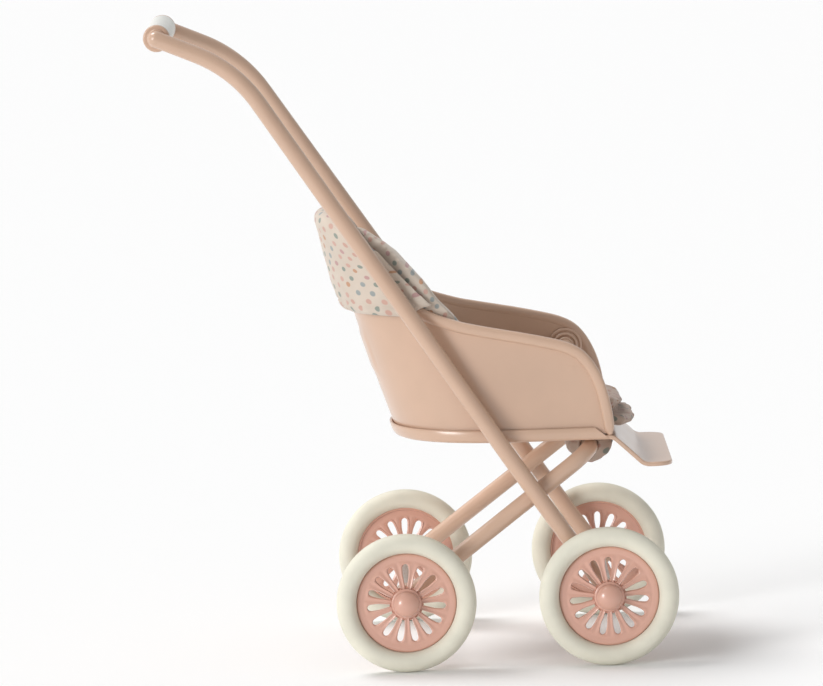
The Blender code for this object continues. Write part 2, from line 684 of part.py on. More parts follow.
def build_strap(parts, cutters, finishes, root):
    """The cushion's fabric strap, folded round the crossbar under the seat."""
    inner = TUBE_RADIUS + GAP
    profile = [
        (inner, -STRAP_HALF), (STRAP_RADIUS, -STRAP_HALF),
        (STRAP_RADIUS, STRAP_HALF), (inner, STRAP_HALF),
    ]
    strap = lathe("crossbar_strap", profile, SMALL_STEPS, parts)
    strap.rotation_euler = (math.pi / 2, 0.0, 0.0)
    strap.location = (CROSSBAR[0], 0.0, CROSSBAR[1])
    low = (20 * MM, -30 * MM, FLOOR_BOTTOM - GAP)
    high = (60 * MM, 30 * MM, FLOOR_BOTTOM + 10 * MM)
    above = box("strap_trim", low, high, cutters)
    combine(strap, above, "DIFFERENCE")
    strap = freeze(strap)
    place = strap.location.copy()
    finish_part(strap, finishes["fabric"], root, place)


def main():
    clear_scene()
    parts = make_collection("doll_stroller")
    cutters = make_collection("cutters")
    finishes = {
        "painted_metal": make_material("painted_metal", (0.63, 0.43, 0.33), 0.3),
        "wheel_metal": make_material("wheel_metal", (0.64, 0.35, 0.27), 0.35),
        "tyre": make_material("tyre", (0.75, 0.76, 0.62), 0.6),
        "grip": make_material("grip", (0.86, 0.86, 0.82), 0.45),
        "fabric": make_material("fabric", (0.75, 0.66, 0.55), 0.9),
        "steel": make_material("steel", (0.55, 0.53, 0.50), 0.35, 1.0),
    }
    root = bpy.data.objects.new("stroller_origin", None)
    parts.objects.link(root)
    root.location = (-ORIGIN_X, 0.0, 0.0)
    build_wheels(parts, cutters, finishes, root)
    build_axles(parts, finishes, root)
    build_handle(parts, cutters, finishes, root)
    build_grip(parts, finishes, root)
    build_rear_legs(parts, cutters, finishes, root)
    build_seat_shell(parts, cutters, finishes, root)
    build_seat_pan(parts, cutters, finishes, root)
    build_safety_bar(parts, finishes, root)
    build_hood(parts, cutters, finishes, root)
    build_back_cushion(parts, cutters, finishes, root)
    build_seat_cushion(parts, finishes, root)
    build_strap(parts, cutters, finishes, root)


main()
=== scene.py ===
import math

import bmesh
import bpy
from mathutils import Matrix, Vector, noise


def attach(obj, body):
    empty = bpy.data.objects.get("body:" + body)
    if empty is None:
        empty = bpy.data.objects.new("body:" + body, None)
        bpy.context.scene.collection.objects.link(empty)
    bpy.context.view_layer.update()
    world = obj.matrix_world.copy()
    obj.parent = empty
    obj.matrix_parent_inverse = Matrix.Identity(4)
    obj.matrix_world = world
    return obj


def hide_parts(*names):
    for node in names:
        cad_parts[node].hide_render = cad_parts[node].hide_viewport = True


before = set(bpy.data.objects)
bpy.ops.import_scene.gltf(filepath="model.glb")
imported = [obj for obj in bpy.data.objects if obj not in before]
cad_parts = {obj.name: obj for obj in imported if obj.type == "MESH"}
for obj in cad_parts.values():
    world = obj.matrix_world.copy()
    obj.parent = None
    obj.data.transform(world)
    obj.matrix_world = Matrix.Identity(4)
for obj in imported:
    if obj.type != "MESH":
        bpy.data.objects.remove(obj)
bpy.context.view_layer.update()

# The looks of the doll's stroller: finer pieces over the CAD nodes, finishes, light and camera.
# Places are measured from the rear axle, in metres, and each piece is shifted into the row frame.
MM = 0.001

WHEEL_RADIUS = 15.5 * MM
WHEEL_BASE = 44.9 * MM
TRACK_HALF = 33.0 * MM
TYRE_SECTION = 2.2 * MM
TYRE_STEPS = 120
TYRE_SIDES = 30
SLOT_COUNT = 15
SLOT_INNER_END = 3.3 * MM
SLOT_LENGTH = 5.5 * MM
SLOT_HALF_WIDTH = 0.80 * MM
SLOT_ROOT = 0.42                    # a slot's width at its root, as a share of its widest
SLOT_RINGS = (                      # rings from a slot's lip out to its cell: (share of the way, drop)
    (-0.30, 0.42), (-0.10, 0.24), (0.0, 0.05), (0.12, -0.10), (0.28, -0.09), (0.6, 0.03), (1.0, 0.06))
LIP_INSET = 0.12 * MM
CELL_INNER = 3.35 * MM
CELL_OUTER = 9.55 * MM
DISC_FACE = 0.25 * MM
DISC_DISH = 0.45 * MM
DISC_SHEET = 0.45 * MM
HUB_FLANGE = 3.35 * MM
CAP_RADIUS = 2.85 * MM
CAP_TOP = 37.0 * MM
AXLE_RADIUS = 1.1 * MM
AXLE_HALF = 35.9 * MM

TUBE_RADIUS = 1.85 * MM
TUBE_SIDES = 28
TIP_STEPS = 7
ROUND_STEPS = 4                     # straight steps in each rounded corner of a turned profile
EYE_RADIUS = 3.0 * MM
HANDLE_Y_LOW = 28.3 * MM
HANDLE_Y_HIGH = 19.6 * MM
HANDLE_BEND_LOW = (24.3 * MM, 46.0 * MM)
HANDLE_BEND_HIGH = (-33.9 * MM, 134.0 * MM)
HANDLE_BEND_RADII = (60.0 * MM, 30.0 * MM)
GRIP_AXIS = (-51.0 * MM, 141.3 * MM)
GRIP_RADIUS = 3.0 * MM
GRIP_CAP_THICKNESS = 1.6 * MM
LEG_Y_LOW = 25.0 * MM
LEG_Y_HIGH = 24.0 * MM
CROSSBAR = (42.0 * MM, 47.0 * MM)
LEG_BEND_RADIUS = 6.0 * MM

SEAT_HALF = 23.8 * MM
SEAT_FRONT_X = 47.0 * MM
SEAT_ROUND_X = 26.0 * MM
SEAT_ROUNDNESS = 2.3
SEAT_BACK_X = -0.2 * MM
SEAT_LEAN = 0.36
SEAT_LEAN_EASE = 1.23
ROUND_LENGTH = 40.0 * MM            # the wall's own length from the straight side to the back's middle
WALL = 0.9 * MM
WALL_BOTTOM = 50.6 * MM
RIM_WIDTH = 1.25 * MM               # half the rolled rim's width, along the wall
RIM_DEPTH = 1.05 * MM               # half its depth, across the wall
RIM_STAND_OFF = 0.5 * MM
RIM_SIDES = 24
RIM_SQUARENESS = 0.75               # 1 is an ellipse, less is squarer
FLOOR_BOTTOM = 49.3 * MM
HEM_FRONT_X = 46.6 * MM             # the hem's foot; its end is cut on a slant behind the rim's foot
HEM_SLANT = 1.25                    # how far the hem's end leans back for each unit of height
FOOTREST_BENDS = ((47.2 * MM, 49.8 * MM), (54.0 * MM, 43.3 * MM))
FOOTREST_TIP_X = 60.3 * MM
FOOTREST_HALF = 24.2 * MM
FOOTREST_THICKNESS = 0.95 * MM
FOOTREST_CORNER = 4.0 * MM
BAR_AXIS = (38.4 * MM, 64.8 * MM)
BAR_RADIUS = 1.5 * MM
HOOD_BOTTOM = 78.1 * MM
HOOD_STAND_OFF = 3.0 * MM
CUSHION_TOP = 58.3 * MM
CUSHION_TILT = 1.5 * MM             # how much higher the seat cushion's right front corner stands
CUSHION_NOTCH = 53.6 * MM
STRAP_HALF = 16.0 * MM

ORIGIN_X = (FOOTREST_TIP_X + GRIP_AXIS[0] - GRIP_RADIUS) / 2
SIDES = (("left", 1.0), ("right", -1.0))
AXLES = (("front", WHEEL_BASE), ("rear", 0.0))

RIM_POINTS = [
    (46.5, 50.3), (45.8, 56.0), (44.3, 62.0), (41.6, 67.0), (38.0, 69.8), (31.0, 71.8),
    (17.8, 74.5), (12.9, 75.7), (6.3, 78.2), (0.5, 82.3), (-5.5, 89.3), (-10.3, 95.0), (-14.25, 97.3),
]
HOOD_EDGES = {                      # the hood's left side sags lower than its right
    "right": [(7.4, 77.0), (7.0, 80.6), (1.3, 86.5), (-3.9, 91.8), (-9.8, 95.0), (-14.0, 98.0)],
    "left": [(5.4, 77.0), (5.4, 80.0), (0.2, 84.8), (-5.4, 88.3), (-11.0, 93.0), (-15.0, 96.0)],
}
HOOD_SAG = {"right": 5.5 * MM, "left": 7.0 * MM}
HEM_LIFT = {"right": 2.4 * MM, "left": 0.6 * MM}
WING_EDGES = {                      # the right wing stands fuller than the left one
    "right": [
        (14.6, 58.0), (14.6, 75.0), (9.8, 82.4), (6.2, 87.2), (1.0, 91.9), (-3.2, 94.6), (-7.6, 98.5)],
    "left": [
        (13.5, 58.0), (13.5, 70.5), (7.4, 77.6), (2.2, 82.4), (-4.2, 87.0), (-9.0, 91.0), (-12.5, 97.0)],
}

ENAMEL = (0.608, 0.408, 0.294)
WHEEL_ENAMEL = (0.670, 0.375, 0.288)
TYRE_COLOUR = (0.750, 0.725, 0.610)
GRIP_COLOUR = (0.800, 0.800, 0.760)
STEEL_COLOURS = ((0.42, 0.40, 0.38), (0.58, 0.56, 0.53))
FLOOR_COLOUR = (0.97, 0.97, 0.97)
FLOOR_REACH = 6.0
CLOTH_COLOUR = (0.625, 0.535, 0.450)
# the dotted cotton's ground darkened: painted shade for the seat cushion and strap, which sit in shadow
SHADED_CLOTH_COLOUR = (0.455, 0.345, 0.280)
DOT_COLOURS = [
    (0.56, 0.31, 0.25), (0.50, 0.24, 0.12), (0.18, 0.24, 0.21),
    (0.48, 0.26, 0.26), (0.25, 0.30, 0.31), (0.58, 0.33, 0.27),
]
DOT_SPACING = 2.6 * MM
PRINT_ANGLE = math.radians(38.0)
WEAVE_SCALE = 1100.0
CLOTH_THICKNESS = 0.35 * MM
SIM_SCALE = 20.0                    # cloth is simulated at twenty times its size
SIM_FRAMES = 20

CAMERA_PLACE = (-0.00006, -1.2603, 0.2263)
CAMERA_UP = (0.0, 0.1236, 0.9923)
CAMERA_AHEAD = (0.0, 0.9923, -0.1236)
CAMERA_ROLL = math.asin(0.0349)
CAMERA_LENS = 245.83


# ------------------------------------------------------------------------------ materials
def new_material(name):
    material = bpy.data.materials.new(name)
    material.use_nodes = True
    return material, material.node_tree, material.node_tree.nodes["Principled BSDF"]


def noise_value(tree, scale, detail):
    """Noise in the object's own space."""
    place = tree.nodes.new("ShaderNodeTexCoord")
    node = tree.nodes.new("ShaderNodeTexNoise")
    node.inputs["Scale"].default_value = scale
    node.inputs["Detail"].default_value = detail
    tree.links.new(place.outputs["Object"], node.inputs["Vector"])
    return node.outputs["Fac"]


def remap(tree, value, low, high, to_low, to_high):
    node = tree.nodes.new("ShaderNodeMapRange")
    for socket, number in zip(("From Min", "From Max", "To Min", "To Max"), (low, high, to_low, to_high)):
        node.inputs[socket].default_value = number
    tree.links.new(value, node.inputs["Value"])
    return node.outputs["Result"]


def mixed(tree, share, first, second):
    node = tree.nodes.new("ShaderNodeMix")
    node.data_type = "RGBA"
    tree.links.new(share, node.inputs[0])
    for socket, colour in ((node.inputs[6], first), (node.inputs[7], second)):
        if isinstance(colour, tuple):
            socket.default_value = (*colour, 1.0)
        else:
            tree.links.new(colour, socket)
    return node.outputs[2]


def clouded(tree, cloud, low, high):
    """Two numbers or two colours, mixed by the middle range of a noise."""
    if isinstance(low, tuple):
        return mixed(tree, clouded(tree, cloud, 0.0, 1.0), low, high)
    return remap(tree, cloud, 0.3, 0.7, low, high)


def bump(tree, shader, height, strength, distance):
    node = tree.nodes.new("ShaderNodeBump")
    node.inputs["Strength"].default_value = strength
    node.inputs["Distance"].default_value = distance
    tree.links.new(height, node.inputs["Height"])
    tree.links.new(node.outputs["Normal"], shader.inputs["Normal"])


def scaled(colour, factor):
    return tuple(min(1.0, part * factor) for part in colour)


def enamel(name, colour, roughness):
    """Satin stoving enamel: a faint orange peel, cloudy colour and fine specks."""
    material, tree, shader = new_material(name)
    cloud = noise_value(tree, 90.0, 3.0)
    base = clouded(tree, cloud, scaled(colour, 0.965), scaled(colour, 1.03))
    specks = remap(tree, noise_value(tree, 2600.0, 2.0), 0.70, 0.80, 0.0, 0.35)
    tree.links.new(mixed(tree, specks, base, scaled(colour, 0.72)), shader.inputs["Base Color"])
    tree.links.new(clouded(tree, cloud, roughness - 0.04, roughness + 0.05), shader.inputs["Roughness"])
    shader.inputs["Coat Weight"].default_value = 0.6
    shader.inputs["Coat Roughness"].default_value = 0.14
    peel = noise_value(tree, 620.0, 2.0)
    bump(tree, shader, peel, 0.10, 0.2 * MM)
    return material


def plain_plastic(name, colour, roughness, grain, depth):
    """Moulded rubber or plastic: fine grain, and a little dust in its colour."""
    material, tree, shader = new_material(name)
    fine = noise_value(tree, grain, 3.0)
    base = clouded(tree, noise_value(tree, 160.0, 4.0), scaled(colour, 0.94), scaled(colour, 1.04))
    tree.links.new(base, shader.inputs["Base Color"])
    tree.links.new(clouded(tree, fine, roughness - 0.06, roughness + 0.06), shader.inputs["Roughness"])
    bump(tree, shader, fine, depth, 0.2 * MM)
    return material


def steel(name):
    """Bare drawn wire, finely mottled."""
    material, tree, shader = new_material(name)
    fine = noise_value(tree, 1500.0, 3.0)
    tree.links.new(clouded(tree, fine, *STEEL_COLOURS), shader.inputs["Base Color"])
    tree.links.new(clouded(tree, fine, 0.25, 0.42), shader.inputs["Roughness"])
    shader.inputs["Metallic"].default_value = 1.0
    bump(tree, shader, fine, 0.08, 0.1 * MM)
    return material


def cotton(name, ground_colour, painted_shade=1.0):
    """Smooth printed cotton: soft round dots in six colours over a fine plain weave; the last argument
    darkens the dots, for a copy of the cloth with painted shade.
    """
    material, tree, shader = new_material(name)
    cloth = tree.nodes.new("ShaderNodeAttribute")
    cloth.attribute_name = "cloth"
    turned = tree.nodes.new("ShaderNodeMapping")
    turned.inputs["Rotation"].default_value = (0.0, 0.0, PRINT_ANGLE)
    tree.links.new(cloth.outputs["Vector"], turned.inputs["Vector"])
    dots = tree.nodes.new("ShaderNodeTexVoronoi")
    dots.voronoi_dimensions = "2D"
    dots.inputs["Scale"].default_value = 1.0 / DOT_SPACING
    dots.inputs["Randomness"].default_value = 0.34
    tree.links.new(turned.outputs["Vector"], dots.inputs["Vector"])
    parts = tree.nodes.new("ShaderNodeSeparateColor")
    tree.links.new(dots.outputs["Color"], parts.inputs["Color"])
    ramp = tree.nodes.new("ShaderNodeValToRGB")
    ramp.color_ramp.interpolation = "CONSTANT"
    while len(ramp.color_ramp.elements) < len(DOT_COLOURS):
        ramp.color_ramp.elements.new(1.0)
    for index, colour in enumerate(DOT_COLOURS):
        ramp.color_ramp.elements[index].position = index / len(DOT_COLOURS)
        # the dots darkened by the last argument: painted shade
        ramp.color_ramp.elements[index].color = (*scaled(colour, painted_shade), 1.0)
    tree.links.new(parts.outputs["Red"], ramp.inputs["Fac"])
    cloud = noise_value(tree, 130.0, 4.0)
    ground = clouded(tree, cloud, scaled(ground_colour, 0.95), scaled(ground_colour, 1.05))
    printed = remap(tree, dots.outputs["Distance"], 0.20, 0.265, 0.85, 0.0)
    coloured = mixed(tree, printed, ground, ramp.outputs["Color"])
    threads = []
    for direction in ("X", "Y"):
        wave = tree.nodes.new("ShaderNodeTexWave")
        wave.bands_direction = direction
        wave.inputs["Scale"].default_value = WEAVE_SCALE
        wave.inputs["Distortion"].default_value = 0.6
        tree.links.new(cloth.outputs["Vector"], wave.inputs["Vector"])
        threads.append(wave.outputs["Fac"])
    crossing = tree.nodes.new("ShaderNodeMath")
    crossing.operation = "MULTIPLY"
    tree.links.new(threads[0], crossing.inputs[0])
    tree.links.new(threads[1], crossing.inputs[1])
    shade = remap(tree, crossing.outputs["Value"], 0.0, 1.0, 0.10, 0.0)
    tree.links.new(mixed(tree, shade, coloured, scaled(ground_colour, 0.6)), shader.inputs["Base Color"])
    shader.inputs["Roughness"].default_value = 0.88
    shader.inputs["Sheen Weight"].default_value = 0.25
    bump(tree, shader, crossing.outputs["Value"], 0.25, 0.08 * MM)
    return material


def floor_material():
    material, _, shader = new_material("pale_floor")
    shader.inputs["Base Color"].default_value = (*FLOOR_COLOUR, 1.0)
    shader.inputs["Roughness"].default_value = 0.9
    return material


# ----------------------------------------------------------------------------- mesh tools
def grid_faces(rows, columns, close_rows=False, close_columns=False, start=0):
    """The four-sided faces of a grid of points, the first of which is point number start."""
    faces = []
    for row in range(rows if close_rows else rows - 1):
        next_row = (row + 1) % rows
        for column in range(columns if close_columns else columns - 1):
            after = (column + 1) % columns
            face = (
                row * columns + column, row * columns + after,
                next_row * columns + after, next_row * columns + column)
            faces.append(tuple(start + index for index in face))
    return faces


def mesh_object(name, points, faces):
    mesh = bpy.data.meshes.new(name)
    mesh.from_pydata([tuple(point) for point in points], [], faces)
    obj = bpy.data.objects.new(name, mesh)
    bpy.context.scene.collection.objects.link(obj)
    return obj


def clean(obj, merge=0.0, fill=False):
    """Weld doubles, close any opening and turn every face outward."""
    bm = bmesh.new()
    bm.from_mesh(obj.data)
    if merge:
        bmesh.ops.remove_doubles(bm, verts=bm.verts, dist=merge)
    if fill:
        bmesh.ops.holes_fill(bm, edges=[edge for edge in bm.edges if edge.is_boundary], sides=0)
    bmesh.ops.recalc_face_normals(bm, faces=bm.faces)
    bm.to_mesh(obj.data)
    bm.free()
    return obj


def applied(obj):
    """Write the object's modifiers into its mesh."""
    depsgraph = bpy.context.evaluated_depsgraph_get()
    mesh = bpy.data.meshes.new_from_object(
        obj.evaluated_get(depsgraph), preserve_all_data_layers=True, depsgraph=depsgraph)
    obj.modifiers.clear()
    obj.data = mesh
    return obj


def thicken(obj, thickness, offset=0.0):
    modifier = obj.modifiers.new("sheet", "SOLIDIFY")
    modifier.thickness = thickness
    modifier.offset = offset


def joined(obj, *others):
    """Fuse closed solids into obj with exact Booleans."""
    for other in others:
        fuse = obj.modifiers.new("fuse", "BOOLEAN")
        fuse.operation = "UNION"
        fuse.solver = "EXACT"
        fuse.object = other
        applied(obj)
        bpy.data.objects.remove(other, do_unlink=True)
    return obj


def placed(obj, finishes, finish, body, nodes=(), angle=35.0):
    """Shift a finished piece into the row frame, dress it and let it ride on its body."""
    obj.data.transform(Matrix.Translation((-ORIGIN_X, 0.0, 0.0)))
    obj.data.materials.clear()
    obj.data.materials.append(finishes[finish])
    obj.data.shade_smooth()
    obj.data.set_sharp_from_angle(angle=math.radians(angle))
    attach(obj, body)
    if nodes:
        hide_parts(*nodes)


def painted(obj, finishes, nodes=(), angle=35.0):
    placed(obj, finishes, "painted_metal", "frame", nodes, angle)


def lathe(name, profile, steps, centre, sign=1.0, closed=True):
    """Turn a profile of (radius, height) round an axis along y; height runs outward by sign."""
    points = []
    for radius, height in profile:
        for step in range(steps):
            angle = 2 * math.pi * step / steps
            points.append(Vector(centre) + Vector((
                radius * math.cos(angle), sign * height, radius * math.sin(angle))))
    obj = mesh_object(name, points, grid_faces(len(profile), steps, closed, True))
    return clean(obj, 0.000001)


def rounded_profile(corners, radius, steps=ROUND_STEPS):
    """A closed profile with every corner rounded off."""
    profile = []
    count = len(corners)
    for index, corner in enumerate(corners):
        corner = Vector(corner)
        before = Vector(corners[index - 1])
        after = Vector(corners[(index + 1) % count])
        reach = min(radius, (before - corner).length / 2.1, (after - corner).length / 2.1)
        start = corner + (before - corner).normalized() * reach
        end = corner + (after - corner).normalized() * reach
        for step in range(steps + 1):
            share = step / steps
            profile.append(tuple(
                start * (1 - share) ** 2 + corner * 2 * share * (1 - share) + end * share ** 2))
    return profile


def solid_rod(name, radius, half, edge, steps, centre):
    """A solid rod along y, the edges of its ends rounded by edge."""
    corners = [(0.0, -half), (radius, -half), (radius, half), (0.0, half)]
    if edge:
        each = ROUND_STEPS + 1
        corners[1:3] = rounded_profile(corners, edge)[each:3 * each]
    return lathe(name, corners, steps, centre, 1.0, False)


def rounded_path(corners, radii, steps):
    """Straight runs between corners, each inner corner rounded by an arc of its radius."""
    points = [Vector(corners[0])]
    for before, corner, after, radius in zip(corners, corners[1:], corners[2:], radii):
        corner = Vector(corner)
        back = (Vector(before) - corner).normalized()
        ahead = (Vector(after) - corner).normalized()
        half_angle = back.angle(ahead) / 2
        reach = radius / math.tan(half_angle)
        centre = corner + (back + ahead).normalized() * (radius / math.sin(half_angle))
        start = corner + back * reach - centre
        end = corner + ahead * reach - centre
        sweep = start.angle(end)
        for step in range(steps + 1):
            share = step / steps
            first = math.sin((1 - share) * sweep) / math.sin(sweep)
            second = math.sin(share * sweep) / math.sin(sweep)
            points.append(centre + start * first + end * second)
    points.append(Vector(corners[-1]))
    return points


def smooth_line(points, steps):
    """A Catmull-Rom curve through points of any dimension."""
    padded = [points[0]] + list(points) + [points[-1]]
    line = []
    for a, b, c, d in zip(padded, padded[1:], padded[2:], padded[3:]):
        for step in range(steps):
            t = step / steps
            line.append(tuple(
                0.5 * (2 * q + (r - p) * t + (2 * p - 5 * q + 4 * r - s) * t ** 2
                       + (3 * q - p - 3 * r + s) * t ** 3)
                for p, q, r, s in zip(a, b, c, d)))
    line.append(tuple(points[-1]))
    return line


def resample(points, step):
    """Points at equal distances along a line."""
    points = [Vector(point) for point in points]
    lengths = [0.0]
    for first, second in zip(points, points[1:]):
        lengths.append(lengths[-1] + (second - first).length)
    count = max(2, round(lengths[-1] / step))
    result = []
    index = 0
    for number in range(count + 1):
        target = lengths[-1] * number / count
        while index < len(points) - 2 and lengths[index + 1] < target:
            index += 1
        span = lengths[index + 1] - lengths[index]
        share = (target - lengths[index]) / span if span else 0.0
        result.append(points[index].lerp(points[index + 1], share))
    return result


def swept(name, path, section, normals, sizes=None):
    """A closed section carried along a path; sizes shrink it towards a rounded end."""
    count = len(path)
    sizes = sizes or [1.0] * count
    points = []
    for index, point in enumerate(path):
        ahead = (path[min(index + 1, count - 1)] - path[max(index - 1, 0)]).normalized()
        normal = (normals[index] - ahead * normals[index].dot(ahead)).normalized()
        side = ahead.cross(normal)
        for across, up in section:
            points.append(point + (side * across + normal * up) * sizes[index])
    faces = grid_faces(count, len(section), False, True)
    sides = len(section)
    for ring, row in ((0, 0), (1, count - 1)):
        centre = len(points)
        points.append(path[row])
        for step in range(sides):
            faces.append((centre, row * sides + step, row * sides + (step + 1) % sides))
    return clean(mesh_object(name, points, faces))


def carried_normals(path, start):
    """One normal per point, turned as little as the path allows."""
    normals = []
    normal = Vector(start)
    for index in range(len(path)):
        ahead = (path[min(index + 1, len(path) - 1)] - path[max(index - 1, 0)]).normalized()
        normal = (normal - ahead * normal.dot(ahead)).normalized()
        normals.append(normal.copy())
    return normals


def circle(radius, sides):
    return [(radius * math.cos(2 * math.pi * side / sides), radius * math.sin(2 * math.pi * side / sides))
            for side in range(sides)]


def smooth_step(value, low, high):
    share = min(1.0, max(0.0, (value - low) / (high - low)))
    return share * share * (3 - 2 * share)


def rough(point, size, seed=0.0):
    """Smooth noise from -1 to 1 at a place, for folds and puckers of about that size."""
    return noise.noise(Vector(point) / size + Vector((seed, 7.3 * seed, 3.1)))


# ------------------------------------------------------------------------ the seat's wall
def seat_back_x(z):
    height = z - FLOOR_BOTTOM
    return SEAT_BACK_X - SEAT_LEAN * height + SEAT_LEAN_EASE * height ** 2


def wall_point(p, z, offset):
    """A point of the seat's wall: p is 0 where its right side turns into the round back."""
    half = SEAT_HALF + offset
    if p >= 0.0:
        return Vector((SEAT_ROUND_X + p, -half, z))
    if p <= -2 * ROUND_LENGTH:
        return Vector((SEAT_ROUND_X - 2 * ROUND_LENGTH - p, half, z))
    angle = math.pi / 2 * -p / ROUND_LENGTH
    depth = SEAT_ROUND_X - seat_back_x(z) + offset
    across = math.copysign(abs(math.cos(angle)) ** (2 / SEAT_ROUNDNESS), math.cos(angle))
    back = abs(math.sin(angle)) ** (2 / SEAT_ROUNDNESS)
    return Vector((SEAT_ROUND_X - depth * back, -half * across, z))


def wall_p(x, z, offset=0.0):
    """The place round the wall of a point of its side view, on the right-hand side."""
    if x >= SEAT_ROUND_X:
        return x - SEAT_ROUND_X
    share = min(1.0, (SEAT_ROUND_X - x) / (SEAT_ROUND_X - seat_back_x(z) + offset))
    return -ROUND_LENGTH * math.asin(share ** (SEAT_ROUNDNESS / 2)) / (math.pi / 2)


def edge_x(edge, z):
    """Where a trimmed edge's side view stands at a height."""
    for (x0, z0), (x1, z1) in zip(edge, edge[1:]):
        if z0 * MM <= z <= z1 * MM:
            share = (z - z0 * MM) / ((z1 - z0) * MM)
            return (x0 + (x1 - x0) * share) * MM
    return edge[-1][0] * MM


def rim_line():
    """The rim's centre in (place round the wall, height), right front corner to left."""
    side_view = smooth_line([(x * MM, z * MM) for x, z in RIM_POINTS], 12)
    right = [(wall_p(x, z), z) for x, z in side_view]
    right[-1] = (-ROUND_LENGTH, right[-1][1] + 0.1 * MM)
    right = [tuple(point) for point in resample(right, 0.9 * MM)]
    left = [(-2 * ROUND_LENGTH - p, z) for p, z in reversed(right[:-1])]
    return right + left


# --------------------------------------------------------------------------------- wheels
def slot_half_width(share):
    """A petal: narrow and round at its root, widest and round near its tip."""
    width = SLOT_HALF_WIDTH * (SLOT_ROOT + (1 - SLOT_ROOT) * smooth_step(share, 0.0, 0.66))
    tip = 1 - SLOT_HALF_WIDTH / SLOT_LENGTH
    root = SLOT_ROOT * SLOT_HALF_WIDTH / SLOT_LENGTH
    if share > tip:
        width *= math.sqrt(max(0.0, 1 - ((share - tip) / (1 - tip)) ** 2))
    if share < root:
        width *= math.sqrt(max(0.0, 1 - ((root - share) / root) ** 2))
    return width


def slot_cell():
    """Matching loops of (distance, across): a slot's outline and the cell of disc around it."""
    turn = math.pi / SLOT_COUNT
    near_tip = 0.93
    near_root = 0.05
    outline = []
    cell = []

    def add(share, side, radius, angle):
        outline.append((SLOT_INNER_END + SLOT_LENGTH * share, side * slot_half_width(share)))
        cell.append((radius * math.cos(angle), radius * math.sin(angle)))

    tip_steps = 8
    side_steps = 12
    root_steps = 4
    for step in range(tip_steps):
        q = -1 + 2 * step / tip_steps
        add(min(0.9999, 1 - (1 - near_tip) * q * q), math.copysign(1, q), CELL_OUTER, q * turn)
    for step in range(side_steps):
        t = step / side_steps
        add(near_tip + (near_root - near_tip) * t, 1, CELL_OUTER + (CELL_INNER - CELL_OUTER) * t, turn)
    for step in range(root_steps):
        q = 1 - 2 * step / root_steps
        add(near_root * q * q + 0.0001, math.copysign(1, q), CELL_INNER, q * turn)
    for step in range(side_steps):
        t = step / side_steps
        add(near_root + (near_tip - near_root) * t, -1, CELL_INNER + (CELL_OUTER - CELL_INNER) * t, -turn)
    return outline, cell


def disc_height(radius):
    share = max(0.0, (CELL_OUTER - radius) / (CELL_OUTER - CELL_INNER))
    return DISC_FACE + DISC_DISH * share ** 1.4


def disc_piece(name, centre, sign):
    """The pressed disc: petal slots with rolled lips, ridged spokes and a flat outer band."""
    outline, cell = slot_cell()
    middle = SLOT_INNER_END + 0.6 * SLOT_LENGTH
    rings = []
    for share, drop in SLOT_RINGS:
        ring = []
        for (ox, oy), (cx, cy) in zip(outline, cell):
            if share < 0.0:
                x = ox + (middle - ox) * 0.02
                y = oy + math.copysign(min(abs(oy), LIP_INSET), oy) * share / -SLOT_RINGS[0][0]
            else:
                x = ox + (cx - ox) * share
                y = oy + (cy - oy) * share
            ring.append((x, y, drop * MM))
        rings.append(ring)
    points = []
    faces = []
    for number in range(SLOT_COUNT):
        angle = math.pi / 2 + 2 * math.pi * number / SLOT_COUNT
        cos_a, sin_a = math.cos(angle), math.sin(angle)
        start = len(points)
        for ring in rings:
            for x, y, drop in ring:
                height = disc_height(math.hypot(x, y)) - drop
                points.append(Vector((x * cos_a - y * sin_a, height, x * sin_a + y * cos_a)))
        faces += grid_faces(len(rings), len(outline), False, True, start)
    raised = -0.06 * MM
    around = 8 * SLOT_COUNT
    first_angle = math.pi / 2 - math.pi / SLOT_COUNT
    bands = (
        (around, ((CELL_OUTER, raised), (9.75 * MM, -0.03 * MM), (10.0 * MM, 0.0), (10.6 * MM, 0.0),
                  (10.9 * MM, -0.07 * MM), (11.05 * MM, -0.3 * MM), (11.2 * MM, -0.75 * MM))),
        (4 * SLOT_COUNT, ((CELL_INNER, raised), (2.9 * MM, raised), (2.2 * MM, raised))),
    )
    for steps, circles in bands:
        start = len(points)
        for radius, lift in circles:
            for step in range(steps):
                angle = first_angle + 2 * math.pi * step / steps
                points.append(Vector((
                    radius * math.cos(angle), disc_height(radius) + lift, radius * math.sin(angle))))
        faces += grid_faces(len(circles), steps, False, True, start)
    placed_points = [Vector(centre) + Vector((x, sign * y, z)) for x, y, z in points]
    disc = clean(mesh_object(name, placed_points, faces), 0.00002)
    outward = sum(face.normal.y for face in disc.data.polygons)
    thicken(disc, DISC_SHEET, -1.0 if outward * sign > 0 else 1.0)
    return clean(applied(disc))


def hub_piece(name, centre, sign):
    inner_end = HANDLE_Y_LOW + TUBE_RADIUS + 0.35 * MM - TRACK_HALF
    corners = [
        (1.45 * MM, inner_end), (2.0 * MM, inner_end), (2.0 * MM, -0.3 * MM), (3.0 * MM, -0.3 * MM),
        (3.0 * MM, 0.1 * MM), (2.1 * MM, 0.15 * MM), (2.1 * MM, 0.6 * MM), (HUB_FLANGE, 0.55 * MM),
        (HUB_FLANGE, 1.15 * MM), (3.0 * MM, 1.3 * MM), (1.45 * MM, 1.3 * MM),
    ]
    return lathe(name, rounded_profile(corners, 0.16 * MM), 64, centre, sign)


